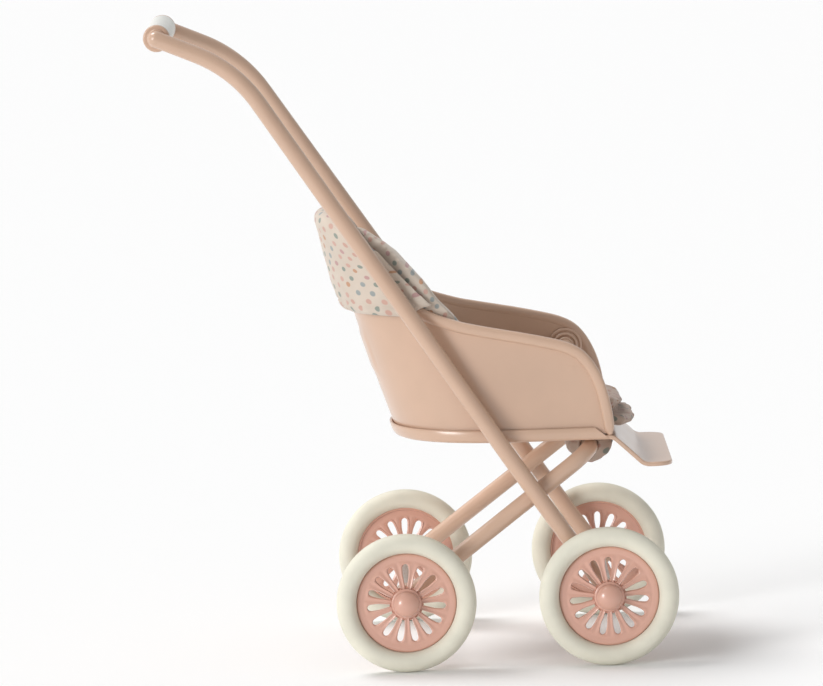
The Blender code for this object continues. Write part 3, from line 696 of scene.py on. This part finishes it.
def cap_piece(name, centre, sign):
    base = 1.42 * MM
    dome_start = 1.9 * MM
    top = CAP_TOP - TRACK_HALF
    profile = [(1.2 * MM, base), (CAP_RADIUS - 0.15 * MM, base), (CAP_RADIUS, base + 0.15 * MM)]
    steps = 14
    for step in range(steps + 1):
        angle = math.pi / 2 * step / steps
        profile.append((CAP_RADIUS * math.cos(angle), dome_start + (top - dome_start) * math.sin(angle)))
    profile[-1] = (0.0, top)
    profile.append((0.0, AXLE_HALF - TRACK_HALF + 0.3 * MM))
    profile.append((1.2 * MM, AXLE_HALF - TRACK_HALF + 0.3 * MM))
    return lathe(name, profile, 56, centre, sign)


def tyre_piece(name, centre, sign):
    ring = WHEEL_RADIUS - TYRE_SECTION
    profile = [(ring + out, up) for out, up in circle(TYRE_SECTION, TYRE_SIDES)]
    return lathe(name, profile, TYRE_STEPS, centre, sign)


def build_wheels(finishes):
    for end, x in AXLES:
        for side, sign in SIDES:
            body = f"wheel_{end}_{side}"
            label = f"{end}_{side}"
            centre = (x, sign * TRACK_HALF, WHEEL_RADIUS)
            tyre = tyre_piece(f"tyre_ring_{label}", centre, sign)
            disc = disc_piece(f"spoked_disc_{label}", centre, sign)
            hub = hub_piece(f"hub_sleeve_{label}", centre, sign)
            cap = cap_piece(f"hub_cap_{label}", centre, sign)
            placed(tyre, finishes, "tyre", body, (f"tyre_{label}",))
            placed(disc, finishes, "wheel_metal", body, (f"disc_{label}",), 50.0)
            placed(hub, finishes, "wheel_metal", body, (f"hub_{label}",))
            placed(cap, finishes, "wheel_metal", "frame", (f"axle_cap_{label}",), 45.0)


def build_axles(finishes):
    for end, x in AXLES:
        axle = solid_rod(f"{end}_axle_wire", AXLE_RADIUS, AXLE_HALF, 0.2 * MM, 32, (x, 0.0, WHEEL_RADIUS))
        placed(axle, finishes, "steel", "frame", (f"{end}_axle",))
    inner = LEG_Y_LOW + TUBE_RADIUS + 0.1 * MM
    outer = HANDLE_Y_LOW + TUBE_RADIUS + 0.1 * MM
    for side, sign in SIDES:
        corners = [(1.2 * MM, inner), (2.0 * MM, inner), (2.0 * MM, outer), (1.2 * MM, outer)]
        profile = rounded_profile(corners, 0.15 * MM)
        spacer = lathe(f"spacer_{side}", profile, 40, (0.0, 0.0, WHEEL_RADIUS), sign)
        placed(spacer, finishes, "steel", "frame", (f"rear_spacer_{side}",))


# ---------------------------------------------------------------------------------- frame
def tube_eye(x, y):
    """The round end of a tube, which the axle goes through."""
    return solid_rod("eye", EYE_RADIUS, TUBE_RADIUS, 0.5 * MM, 48, (x, y, WHEEL_RADIUS))


def build_handle(finishes):
    for side, sign in SIDES:
        corners = [
            (WHEEL_BASE, sign * HANDLE_Y_LOW, WHEEL_RADIUS),
            (HANDLE_BEND_LOW[0], sign * HANDLE_Y_LOW, HANDLE_BEND_LOW[1]),
            (HANDLE_BEND_HIGH[0], sign * HANDLE_Y_HIGH, HANDLE_BEND_HIGH[1]),
            (GRIP_AXIS[0], sign * HANDLE_Y_HIGH, GRIP_AXIS[1]),
        ]
        path = resample(rounded_path(corners, HANDLE_BEND_RADII, 24), 1.5 * MM)
        end = path[-1]
        ahead = (end - path[-2]).normalized()
        sizes = [1.0] * len(path)
        for step in range(1, TIP_STEPS + 1):
            angle = math.pi / 2 * step / TIP_STEPS
            path.append(end + ahead * TUBE_RADIUS * 1.02 * math.sin(angle))
            sizes.append(max(0.03, math.cos(angle)))
        normals = carried_normals(path, (0, 1, 0))
        tube = swept(f"handle_{side}", path, circle(TUBE_RADIUS, TUBE_SIDES), normals, sizes)
        joined(tube, tube_eye(WHEEL_BASE, sign * HANDLE_Y_LOW))
        painted(tube, finishes, (f"handle_tube_{side}",))


def weld_bead(name, centre, radius, size, seed):
    """A rough ring of weld round a tube's end, along y."""
    points = []
    steps, sides = 40, 10
    for step in range(steps):
        around = 2 * math.pi * step / steps
        direction = Vector((math.cos(around), 0.0, math.sin(around)))
        for side in range(sides):
            angle = 2 * math.pi * side / sides
            thick = size * (1 + 0.35 * rough(direction * 2.5 + Vector((0, side * 0.15, 0)), 1.0, seed))
            points.append(Vector(centre) + direction * (radius + thick * math.cos(angle))
                          + Vector((0.0, thick * math.sin(angle), 0.0)))
    return clean(mesh_object(name, points, grid_faces(steps, sides, True, True)))


def build_grip(finishes):
    centre = (GRIP_AXIS[0], 0.0, GRIP_AXIS[1])
    reach = HANDLE_Y_HIGH - TUBE_RADIUS - 0.1 * MM
    half = reach - GRIP_CAP_THICKNESS - 0.1 * MM
    corners = [(1.4 * MM, -half), (GRIP_RADIUS, -half), (GRIP_RADIUS, half), (1.4 * MM, half)]
    sleeve = lathe("grip_tube", rounded_profile(corners, 0.4 * MM), 64, centre)
    placed(sleeve, finishes, "grip", "frame", ("grip_sleeve",))
    rod = solid_rod("grip_core", 1.2 * MM, reach, 0.0, 32, centre)
    placed(rod, finishes, "steel", "frame", ("grip_rod",))
    for side, sign in SIDES:
        corners = [
            (1.3 * MM, reach - GRIP_CAP_THICKNESS), (GRIP_RADIUS, reach - GRIP_CAP_THICKNESS),
            (GRIP_RADIUS, reach), (1.3 * MM, reach),
        ]
        cap = lathe(f"grip_end_{side}", rounded_profile(corners, 0.45 * MM), 64, centre, sign)
        painted(cap, finishes, (f"grip_cap_{side}",))
        bead = weld_bead(f"grip_weld_{side}", (centre[0], sign * (reach + 0.05 * MM), centre[2]),
                         1.75 * MM, 0.42 * MM, sign)
        painted(bead, finishes, (), 80.0)


def build_rear_legs(finishes):
    corners = [
        (0.0, -LEG_Y_LOW, WHEEL_RADIUS), (CROSSBAR[0], -LEG_Y_HIGH, CROSSBAR[1]),
        (CROSSBAR[0], LEG_Y_HIGH, CROSSBAR[1]), (0.0, LEG_Y_LOW, WHEEL_RADIUS),
    ]
    path = resample(rounded_path(corners, (LEG_BEND_RADIUS, LEG_BEND_RADIUS), 24), 1.2 * MM)
    legs = swept("leg_frame", path, circle(TUBE_RADIUS, TUBE_SIDES), carried_normals(path, (0, 1, 0.2)))
    joined(legs, tube_eye(0.0, -LEG_Y_LOW), tube_eye(0.0, LEG_Y_LOW))
    painted(legs, finishes, ("rear_leg_frame",))


# ----------------------------------------------------------------------------------- seat
def wall_relief(p, z):
    """The shallow pressed panel in the middle of the back, and the sheet's slight waviness."""
    across = abs(p + ROUND_LENGTH)
    panel = smooth_step(across, 8.0 * MM, 6.5 * MM) * smooth_step(z, 63.6 * MM, 64.9 * MM)
    panel *= smooth_step(z, 73.2 * MM, 72.2 * MM)
    return 0.28 * MM * panel + 0.05 * MM * rough((p, 0.0, z), 14 * MM, 2.0)


def build_seat_wall(finishes):
    """The seat's wall between the floor and the rim's line, and the rolled rim along its top."""
    line = rim_line()
    front_p = SEAT_FRONT_X - SEAT_ROUND_X
    rows = 26
    points = []
    for row in range(rows + 1):
        share = row / rows
        for index, (top_p, top_z) in enumerate(line):
            bottom_p = front_p - (2 * ROUND_LENGTH + 2 * front_p) * index / (len(line) - 1)
            p = bottom_p + (top_p - bottom_p) * share
            z = WALL_BOTTOM + (top_z - WALL_BOTTOM) * share
            points.append(wall_point(p, z, wall_relief(p, z)))
    wall = mesh_object("seat_wall", points, grid_faces(rows + 1, len(line)))
    thicken(wall, WALL)
    applied(wall)

    path = [wall_point(p, z, RIM_STAND_OFF) for p, z in line]
    normals = [wall_point(p, z, MM) - wall_point(p, z, 0.0) for p, z in line]
    section = []
    for across, up in circle(1.0, RIM_SIDES):
        section.append((
            RIM_WIDTH * math.copysign(abs(across) ** RIM_SQUARENESS, across),
            RIM_DEPTH * math.copysign(abs(up) ** RIM_SQUARENESS, up)))
    ends = [0.35, 0.75, 0.93]
    sizes = ends + [1.0] * (len(path) - 2 * len(ends)) + ends[::-1]
    rim = swept("seat_rim", path, section, normals, sizes)
    painted(wall, finishes, ("seat_shell",), 50.0)
    painted(rim, finishes, (), 60.0)


def build_pan(finishes):
    """Floor with its folded hem, one closed sheet that goes right across."""
    profile = [
        (-1.5, 50.3), (0.3, 50.35), (0.6, 50.7), (0.62, 51.8), (0.72, 52.08), (0.95, 52.16),
        (1.2, 52.08), (1.36, 51.85), (1.40, 51.0), (1.40, 50.4), (1.33, 49.9), (1.12, 49.5),
        (0.75, 49.32), (0.2, 49.3), (-1.5, 49.3),
    ]
    columns = 150
    points = []
    for offset, z in profile:
        front_p = HEM_FRONT_X - HEM_SLANT * (z * MM - FLOOR_BOTTOM) - SEAT_ROUND_X
        whole = 2 * ROUND_LENGTH + 2 * front_p
        points.extend(wall_point(front_p - whole * step / columns, z * MM, offset * MM)
                      for step in range(columns + 1))
    faces = grid_faces(len(profile), columns + 1)
    across = 10
    for row in (0, len(profile) - 1):
        z = profile[row][1] * MM
        start = len(points)
        for index in range(columns // 2 + 1):
            right = points[row * (columns + 1) + index]
            left = points[row * (columns + 1) + columns - index]
            points.extend(right.lerp(left, step / across) for step in range(across + 1))
        faces += grid_faces(columns // 2 + 1, across + 1, start=start)
    pan = clean(mesh_object("seat_floor", points, faces), 0.00001)
    painted(clean(pan, 0.0, True), finishes, ("seat_pan",), 40.0)


def build_footrest(finishes):
    """The floor's sheet carried on past the seat, bent down and then level, with round corners."""
    corners = [(43.0 * MM, 0.0, FOOTREST_BENDS[0][1])]
    corners += [(x, 0.0, z) for x, z in FOOTREST_BENDS]
    corners.append((FOOTREST_TIP_X, 0.0, FOOTREST_BENDS[1][1]))
    line = resample(rounded_path(corners, (2.5 * MM, 3.0 * MM), 12), 0.4 * MM)
    left = sum((b - a).length for a, b in zip(line, line[1:]))
    start_half = SEAT_HALF + 1.15 * MM
    across = 36
    points = []
    for index, point in enumerate(line):
        if index:
            left -= (point - line[index - 1]).length
        inset = max(0.0, FOOTREST_CORNER - left)
        half = FOOTREST_HALF + (start_half - FOOTREST_HALF) * smooth_step(point.x, 52 * MM, 46 * MM)
        half += math.sqrt(max(0.0, FOOTREST_CORNER ** 2 - inset ** 2)) - FOOTREST_CORNER
        for step in range(across + 1):
            points.append(Vector((point.x, half * (2 * step / across - 1), point.z)))
    sheet = mesh_object("footrest", points, grid_faces(len(line), across + 1))
    thicken(sheet, FOOTREST_THICKNESS)
    soften = sheet.modifiers.new("edge", "BEVEL")
    soften.width = 0.3 * MM
    soften.segments = 3
    soften.limit_method = "ANGLE"
    soften.angle_limit = math.radians(60)
    painted(clean(applied(sheet)), finishes, (), 40.0)


def build_safety_bar(finishes):
    """The bar, its ringed collars inside the walls and the faint weld spots outside them."""
    face = SEAT_HALF - WALL / 2
    centre = (BAR_AXIS[0], 0.0, BAR_AXIS[1])
    bar = solid_rod("front_bar", BAR_RADIUS, face, 0.0, 40, centre)
    painted(bar, finishes, ("safety_bar",))
    for side, sign in SIDES:
        corners = [
            (1.4 * MM, face + 0.1 * MM), (3.9 * MM, face + 0.1 * MM), (3.9 * MM, face - 0.6 * MM),
            (3.35 * MM, face - 0.75 * MM), (3.25 * MM, face - 0.45 * MM), (2.95 * MM, face - 0.45 * MM),
            (2.85 * MM, face - 1.3 * MM), (2.35 * MM, face - 1.4 * MM), (2.25 * MM, face - 1.0 * MM),
            (2.0 * MM, face - 1.0 * MM), (1.9 * MM, face - 2.1 * MM), (1.4 * MM, face - 2.2 * MM),
        ]
        collar = lathe(f"bar_boss_{side}", rounded_profile(corners, 0.25 * MM), 56, centre, sign)
        painted(collar, finishes, (f"bar_collar_{side}",), 50.0)
        outer = SEAT_HALF + WALL / 2
        profile = [(0.0, outer + 0.05 * MM), (0.8 * MM, outer + 0.04 * MM), (1.5 * MM, outer),
                   (1.9 * MM, outer - 0.06 * MM), (0.0, outer - 0.1 * MM)]
        spot = lathe(f"bar_weld_{side}", profile, 28, centre, sign, False)
        for vertex in spot.data.vertices:
            vertex.co.y += sign * 0.05 * MM * rough(vertex.co, 1.1 * MM, 5.0)
        painted(spot, finishes, (), 80.0)


# ------------------------------------------------------------------------------ soft parts
def give_cloth(obj, flats):
    """Store where each point lies on the flat cloth, in metres, for the print and the weave."""
    attribute = obj.data.attributes.new("cloth", "FLOAT_VECTOR", "POINT")
    for index, flat in enumerate(flats):
        attribute.data[index].vector = flat


def cloth_sheet(name, points, flats, rows, columns):
    """A thin sheet of cloth over a grid of points."""
    sheet = mesh_object(name, points, grid_faces(rows, columns))
    give_cloth(sheet, flats)
    thicken(sheet, CLOTH_THICKNESS)
    return applied(sheet)


def puffed(obj, voxel, pressure, cap, held):
    """Swell a closed form with a cloth simulation; held(point) is 1 where a seam keeps it."""
    obj.data.transform(Matrix.Scale(SIM_SCALE, 4))
    remesh = obj.modifiers.new("remesh", "REMESH")
    remesh.mode = "VOXEL"
    remesh.voxel_size = voxel * SIM_SCALE
    applied(obj)
    rest = [vertex.co.copy() for vertex in obj.data.vertices]
    seams = obj.vertex_groups.new(name="seams")
    for vertex in obj.data.vertices:
        weight = held(vertex.co / SIM_SCALE)
        if weight > 0.0:
            seams.add([vertex.index], weight, "REPLACE")
    cloth = obj.modifiers.new("cloth", "CLOTH")
    settings = {
        "quality": 6, "mass": 0.3, "tension_stiffness": 12, "compression_stiffness": 12,
        "shear_stiffness": 5, "bending_stiffness": 0.3, "use_pressure": True,
        "uniform_pressure_force": pressure, "vertex_group_mass": "seams",
    }
    for name, value in settings.items():
        setattr(cloth.settings, name, value)
    cloth.settings.effector_weights.gravity = 0.0
    cloth.collision_settings.use_collision = False
    for number in range(1, SIM_FRAMES + 1):
        bpy.context.scene.frame_set(number)
    applied(obj)
    bpy.context.scene.frame_set(1)
    for vertex, start in zip(obj.data.vertices, rest):
        moved = vertex.co - start
        if moved.length > cap * SIM_SCALE:
            vertex.co = start + moved.normalized() * cap * SIM_SCALE
    smooth = obj.modifiers.new("round", "SUBSURF")
    smooth.levels = 1
    smooth.render_levels = 1
    applied(obj)
    obj.data.transform(Matrix.Scale(1 / SIM_SCALE, 4))
    return obj


def hood_tuck(z, across):
    """How far the hood's hem pulls in to the wall: most in the middle of the back."""
    rise = min(1.0, max(0.0, (z - HOOD_BOTTOM) / (3.8 * MM)))
    depth = 0.7 * MM + 1.3 * MM * math.exp(-(across / (14 * MM)) ** 2)
    return depth * (1 - math.sqrt(max(0.0, 1 - (1 - rise) ** 2)))


def hood_rows():
    """(height, offset, slack) of each row of the hood, from inside its hem over the top."""
    hem_top = HOOD_BOTTOM + 2.3 * MM
    turn_z = 97.4 * MM
    rows = [(79.0, -0.45, 0.0), (78.4, -0.35, 0.1), (78.05, 0.0, 0.3)]
    rows = [(z * MM, HOOD_STAND_OFF + extra * MM, slack) for z, extra, slack in rows]
    z = HOOD_BOTTOM + 0.2 * MM
    while z < turn_z:
        hem = 0.35 * MM * smooth_step(z, hem_top, hem_top - 0.9 * MM)
        seam = -0.18 * MM * math.exp(-((z - hem_top) / (0.35 * MM)) ** 2)
        rows.append((z, HOOD_STAND_OFF + hem + seam, 1.0))
        z += 0.45 * MM
    radius_z = 2.9 * MM
    radius_offset = 2.6 * MM
    steps = 16
    for step in range(1, steps + 1):
        angle = math.pi * step / steps
        rows.append((turn_z + radius_z * math.sin(angle),
                     HOOD_STAND_OFF - radius_offset * (1 - math.cos(angle)), 0.7))
    rows += [(96.6 * MM, -2.3 * MM, 0.3), (95.6 * MM, -2.4 * MM, 0.2), (94.6 * MM, -2.4 * MM, 0.0)]
    return rows


def build_hood(finishes):
    """The fabric pocket over the back: hemmed below, rolled over the top, open in front."""
    rows = hood_rows()
    columns = 150
    points = []
    flats = []
    travelled = 0.0
    before = rows[0]
    for z, offset, slack in rows:
        travelled += math.hypot(z - before[0], offset - before[1])
        before = (z, offset)
        sag, lift, edge = {}, {}, {}
        for side, _ in SIDES:
            sag[side] = HOOD_SAG[side] * smooth_step(z, 84 * MM, 99 * MM)
            lift[side] = HEM_LIFT[side] * smooth_step(z, 87 * MM, 80 * MM)
            level = z - sag[side] + lift[side]
            edge[side] = wall_p(edge_x(HOOD_EDGES[side], level), level, offset)
        for column in range(columns + 1):
            share = column / columns
            p = edge["right"] + (-2 * ROUND_LENGTH - edge["left"] - edge["right"]) * share
            side = "right" if p > -ROUND_LENGTH else "left"
            from_edge = min(share, 1 - share)
            roll = 0.55 * MM * math.exp(-(from_edge / 0.012) ** 2)
            pucker = math.sin(p / (1.15 * MM) + 2.0 * math.sin(p / (3.1 * MM)))
            pucker *= 0.20 * MM * math.exp(-((z - HOOD_BOTTOM) / (2.6 * MM)) ** 2)
            fold = 0.42 * MM * rough((p, 0.0, 0.55 * z + 0.3 * p), 6.5 * MM, 4.0)
            fold += 0.16 * MM * rough((p, 1.0, z), 2.4 * MM, 9.0)
            crease = -0.35 * MM * math.exp(-((from_edge - 0.035) / 0.010) ** 2)
            low = z - sag[side] * smooth_step(abs(p + ROUND_LENGTH), 5 * MM, 24 * MM)
            low += lift[side] * smooth_step(from_edge, 0.10, 0.0)
            tuck = hood_tuck(z, abs(p + ROUND_LENGTH))
            points.append(wall_point(p, low, offset + slack * (fold + pucker + crease) - roll - tuck))
            flats.append((p * 0.95, travelled, 0.0))
    hood = cloth_sheet("fabric_hood", points, flats, len(rows), columns + 1)
    placed(hood, finishes, "fabric", "frame", ("back_hood",), 80.0)
    return hood


def closed_loft(name, loops):
    """A closed solid through loops of points, its first and last loops filled."""
    count = len(loops[0])
    points = [point for loop in loops for point in loop]
    faces = grid_faces(len(loops), count, False, True)
    faces.append(tuple(reversed(range(count))))
    faces.append(tuple(range((len(loops) - 1) * count, len(loops) * count)))
    return clean(mesh_object(name, points, faces))


def back_flat(point):
    """Round the back and out along the wings: the distance to the seat's middle keeps the dots round."""
    reach = SEAT_ROUND_X + 4 * MM - point.x
    return (math.atan2(point.y, reach) * 24 * MM + math.hypot(point.y, reach), point.z * 1.06, 0.0)


def build_back_cushion(finishes):
    """A padded back whose wings fold forward along the side walls."""
    low = CUSHION_TOP + 0.4 * MM
    high = 97.0 * MM
    levels = 22
    columns = 46
    loops = []
    for level in range(levels + 1):
        share = level / levels
        z = low + (high - low) * share
        ends = min(share, 1 - share) * levels
        shrink = 1.1 * MM * (1 - min(1.0, ends / 1.5))
        loop = []
        bulge = 2.3 * MM * smooth_step(z, 76 * MM, 82 * MM) * smooth_step(z, 97 * MM, 92 * MM)
        for offset, order in ((-1.35 * MM - shrink, 1), (-6.3 * MM + shrink, -1)):
            left, right = (wall_p(edge_x(WING_EDGES[side], z) - shrink, z, offset) for side, _ in SIDES)
            whole = -2 * ROUND_LENGTH - left - right
            for column in range(columns + 1)[::order]:
                p = right + whole * column / columns
                beyond = smooth_step(abs(p + ROUND_LENGTH), 16 * MM, 27 * MM)
                loop.append(wall_point(p, z, offset + bulge * beyond))
        loops.append(loop)
    cushion = closed_loft("padded_back", loops)

    def held(point):
        # the seams: round the wings' edges, and where the wings fold on to the back
        wing = edge_x(WING_EDGES["right" if point.y < 0 else "left"], point.z)
        near_edge = math.exp(-((point.x - wing + 0.6 * MM) / (1.0 * MM)) ** 2)
        fold = math.exp(-((abs(point.y) - 15.5 * MM) / (0.8 * MM)) ** 2)
        channel = max(math.exp(-((point.z - z * MM) / (0.7 * MM)) ** 2) for z in (71.0, 84.0))
        weight = max(near_edge, 0.95 * fold if point.x < 6 * MM else 0.0, 0.9 * channel)
        return weight if weight > 0.15 else 0.0

    puffed(cushion, 0.95 * MM, 5.0, 1.3 * MM, held)
    for vertex in cushion.data.vertices:
        centre = Vector((SEAT_ROUND_X, 0.0, vertex.co.z))
        outward = (vertex.co - centre).normalized()
        vertex.co += outward * 0.22 * MM * rough(vertex.co, 4.5 * MM, 6.0)
    give_cloth(cushion, [back_flat(vertex.co) for vertex in cushion.data.vertices])
    placed(cushion, finishes, "fabric", "frame", ("back_cushion",), 180.0)


def seat_flat(point, normal):
    """The top lies flat and the sides hang down from it."""
    if normal.z > 0.75:
        return (point.x, point.y, 0.0)
    return (point.x + point.y, point.z, 0.0)


def build_seat_cushion(finishes):
    """A box cushion whose front shows two soft rolls, one over the other."""
    section = smooth_line([
        (50.9, -3.0, 48.0), (51.1, -2.0, 50.8), (51.6, -1.5, 52.2), (52.3, -1.4, 52.5),
        (52.9, -1.8, 51.6), (53.3, -3.0, 46.4), (53.9, -3.0, 46.4), (54.4, -2.0, 48.9),
        (55.3, -1.5, 50.0), (56.3, -1.8, 50.0), (56.9, -3.0, 48.0),
    ], 3)
    loops = []
    columns = 44
    front_steps = 24
    for z, offset, front in section:
        front_p = front * MM - SEAT_ROUND_X - 2.4 * MM
        edge = offset * MM
        loop = []
        for column in range(columns + 1):
            p = front_p + (-2 * ROUND_LENGTH - 2 * front_p) * column / columns
            loop.append(wall_point(p, z * MM, edge))
        left, right = loop[-1], loop[0]
        for step in range(1, front_steps):
            bow = Vector((2.4 * MM * (1 - abs(2 * step / front_steps - 1) ** 7), 0.0, 0.0))
            loop.append(left.lerp(right, step / front_steps) + bow)
        for point in loop:
            tilt = CUSHION_TILT * point.y / SEAT_HALF * smooth_step(point.x, 34 * MM, 46 * MM)
            point.z -= tilt
        loops.append(loop)
    cushion = closed_loft("padded_seat", loops)

    def held(point):
        level = point.z + CUSHION_TILT * point.y / SEAT_HALF
        pinch = math.exp(-((level - CUSHION_NOTCH) / (0.6 * MM)) ** 2)
        below = smooth_step(point.z, 51.6 * MM, 50.8 * MM)
        behind = smooth_step(point.x, 30 * MM, 20 * MM)
        weight = max(pinch, below, behind)
        return weight if weight > 0.15 else 0.0

    puffed(cushion, 0.55 * MM, 4.0, 0.45 * MM, held)
    for vertex in cushion.data.vertices:
        if vertex.co.x > 40 * MM:
            fold = rough((vertex.co.x, 0.6 * vertex.co.y, vertex.co.z), 2.2 * MM, 8.0)
            crease = rough((0.6 * vertex.co.x, vertex.co.y, vertex.co.z), 1.3 * MM, 21.0)
            vertex.co.x += 0.45 * MM * fold + 0.22 * MM * crease
            vertex.co.z += 0.30 * MM * rough(vertex.co, 2.0 * MM, 11.0)
        vertex.co.z = max(vertex.co.z, 50.4 * MM)
    give_cloth(cushion, [seat_flat(vertex.co, vertex.normal) for vertex in cushion.data.vertices])
    # the darker cotton copy, whose colour holds painted shade
    placed(cushion, finishes, "shaded_fabric", "frame", ("seat_cushion",), 180.0)


def build_strap(finishes):
    """The cushion's cotton strap, gathered round the crossbar and tucked up to the floor."""
    rows = 60
    columns = 44
    start, end = math.radians(-215), math.radians(35)
    points = []
    flats = []
    for row in range(rows + 1):
        share = row / rows
        y = STRAP_HALF * (2 * share - 1)
        for column in range(columns + 1):
            angle = start + (end - start) * column / columns
            hang = math.exp(-((angle + math.pi / 2) / 0.9) ** 2)
            flare = abs(math.cos(angle)) ** 2
            radius = 3.1 * MM + 1.0 * MM * hang + 1.5 * MM * flare
            radius += 0.9 * MM * rough((y, 3.0 * angle * MM, 0.0), 3.4 * MM, 12.0)
            radius += 0.45 * MM * rough((y, 5.0 * angle * MM, 0.0), 1.5 * MM, 14.0)
            gathered = smooth_step(min(share, 1 - share), 0.0, 0.09)
            radius = max(2.2 * MM + (radius - 2.2 * MM) * gathered, 2.2 * MM)
            wander = 0.9 * MM * rough((angle * 2.5 * MM, 0.0, share * 6 * MM), 5 * MM, 15.0)
            points.append(Vector((
                CROSSBAR[0] + radius * math.cos(angle), y + wander * 0.6,
                min(CROSSBAR[1] + radius * math.sin(angle), 49.0 * MM))))
            flats.append((y, angle * 3.2 * MM, 0.0))
    strap = cloth_sheet("cotton_strap", points, flats, rows + 1, columns + 1)
    # the darker cotton copy, whose colour holds painted shade
    placed(strap, finishes, "shaded_fabric", "frame", ("crossbar_strap",), 80.0)
    return strap


# ------------------------------------------------------------------------ camera and light
def build_camera():
    right = Vector((1.0, 0.0, 0.0))
    up = Vector(CAMERA_UP)
    camera_right = right * math.cos(CAMERA_ROLL) - up * math.sin(CAMERA_ROLL)
    camera_up = right * math.sin(CAMERA_ROLL) + up * math.cos(CAMERA_ROLL)
    data = bpy.data.cameras.new("camera")
    data.lens = CAMERA_LENS
    data.sensor_width = 36.0
    data.clip_start = 0.05
    data.clip_end = 50.0
    camera = bpy.data.objects.new("camera", data)
    matrix = Matrix((camera_right, camera_up, -Vector(CAMERA_AHEAD))).transposed().to_4x4()
    matrix.translation = Vector(CAMERA_PLACE)
    camera.matrix_world = matrix
    bpy.context.scene.collection.objects.link(camera)
    bpy.context.scene.camera = camera


def sun_light(name, towards, strength, spread):
    """A wide soft light from a direction, as even as a large studio panel."""
    data = bpy.data.lights.new(name, "SUN")
    data.energy = strength
    data.angle = math.radians(spread)
    light = bpy.data.objects.new(name, data)
    light.rotation_euler = Vector(towards).to_track_quat("Z", "Y").to_euler()
    bpy.context.scene.collection.objects.link(light)


def build_studio():
    reach = FLOOR_REACH
    corners = [(-reach, -reach, 0), (reach, -reach, 0), (reach, reach, 0), (-reach, reach, 0)]
    floor = mesh_object("studio_floor", corners, [(0, 1, 2, 3)])
    floor.data.materials.append(floor_material())
    world = bpy.data.worlds.new("studio")
    bpy.context.scene.world = world
    world.use_nodes = True
    tree = world.node_tree
    tree.nodes["Background"].inputs["Color"].default_value = (1.0, 1.0, 1.0, 1.0)
    direction = tree.nodes.new("ShaderNodeSeparateXYZ")
    tree.links.new(tree.nodes.new("ShaderNodeTexCoord").outputs["Generated"], direction.inputs["Vector"])
    backdrop = remap(tree, direction.outputs["Y"], 0.1, 0.9, 0.40, 0.68)
    tree.links.new(backdrop, tree.nodes["Background"].inputs["Strength"])
    sun_light("top", (-0.42, 0.25, 0.86), 1.65, 30.0)
    sun_light("front", (-0.74, -0.64, 0.22), 1.50, 24.0)
    bpy.context.scene.view_settings.view_transform = "Standard"


def main():
    finishes = {
        "painted_metal": enamel("rose_enamel", ENAMEL, 0.33),
        "wheel_metal": enamel("wheel_enamel", WHEEL_ENAMEL, 0.36),
        "tyre": plain_plastic("cream_tyre", TYRE_COLOUR, 0.62, 900.0, 0.12),
        "grip": plain_plastic("white_grip", GRIP_COLOUR, 0.5, 1200.0, 0.08),
        "fabric": cotton("dotted_cotton", CLOTH_COLOUR),
        # a darker copy of the same cotton, its colour holding painted shade
        "shaded_fabric": cotton("dotted_cotton_painted_shade", SHADED_CLOTH_COLOUR, 0.7),
        "steel": steel("axle_steel"),
    }
    build_wheels(finishes)
    build_axles(finishes)
    build_handle(finishes)
    build_grip(finishes)
    build_rear_legs(finishes)
    build_seat_wall(finishes)
    build_pan(finishes)
    build_footrest(finishes)
    build_safety_bar(finishes)
    hood = build_hood(finishes)
    build_back_cushion(finishes)
    build_seat_cushion(finishes)
    strap = build_strap(finishes)
    build_camera()
    build_studio()


main()
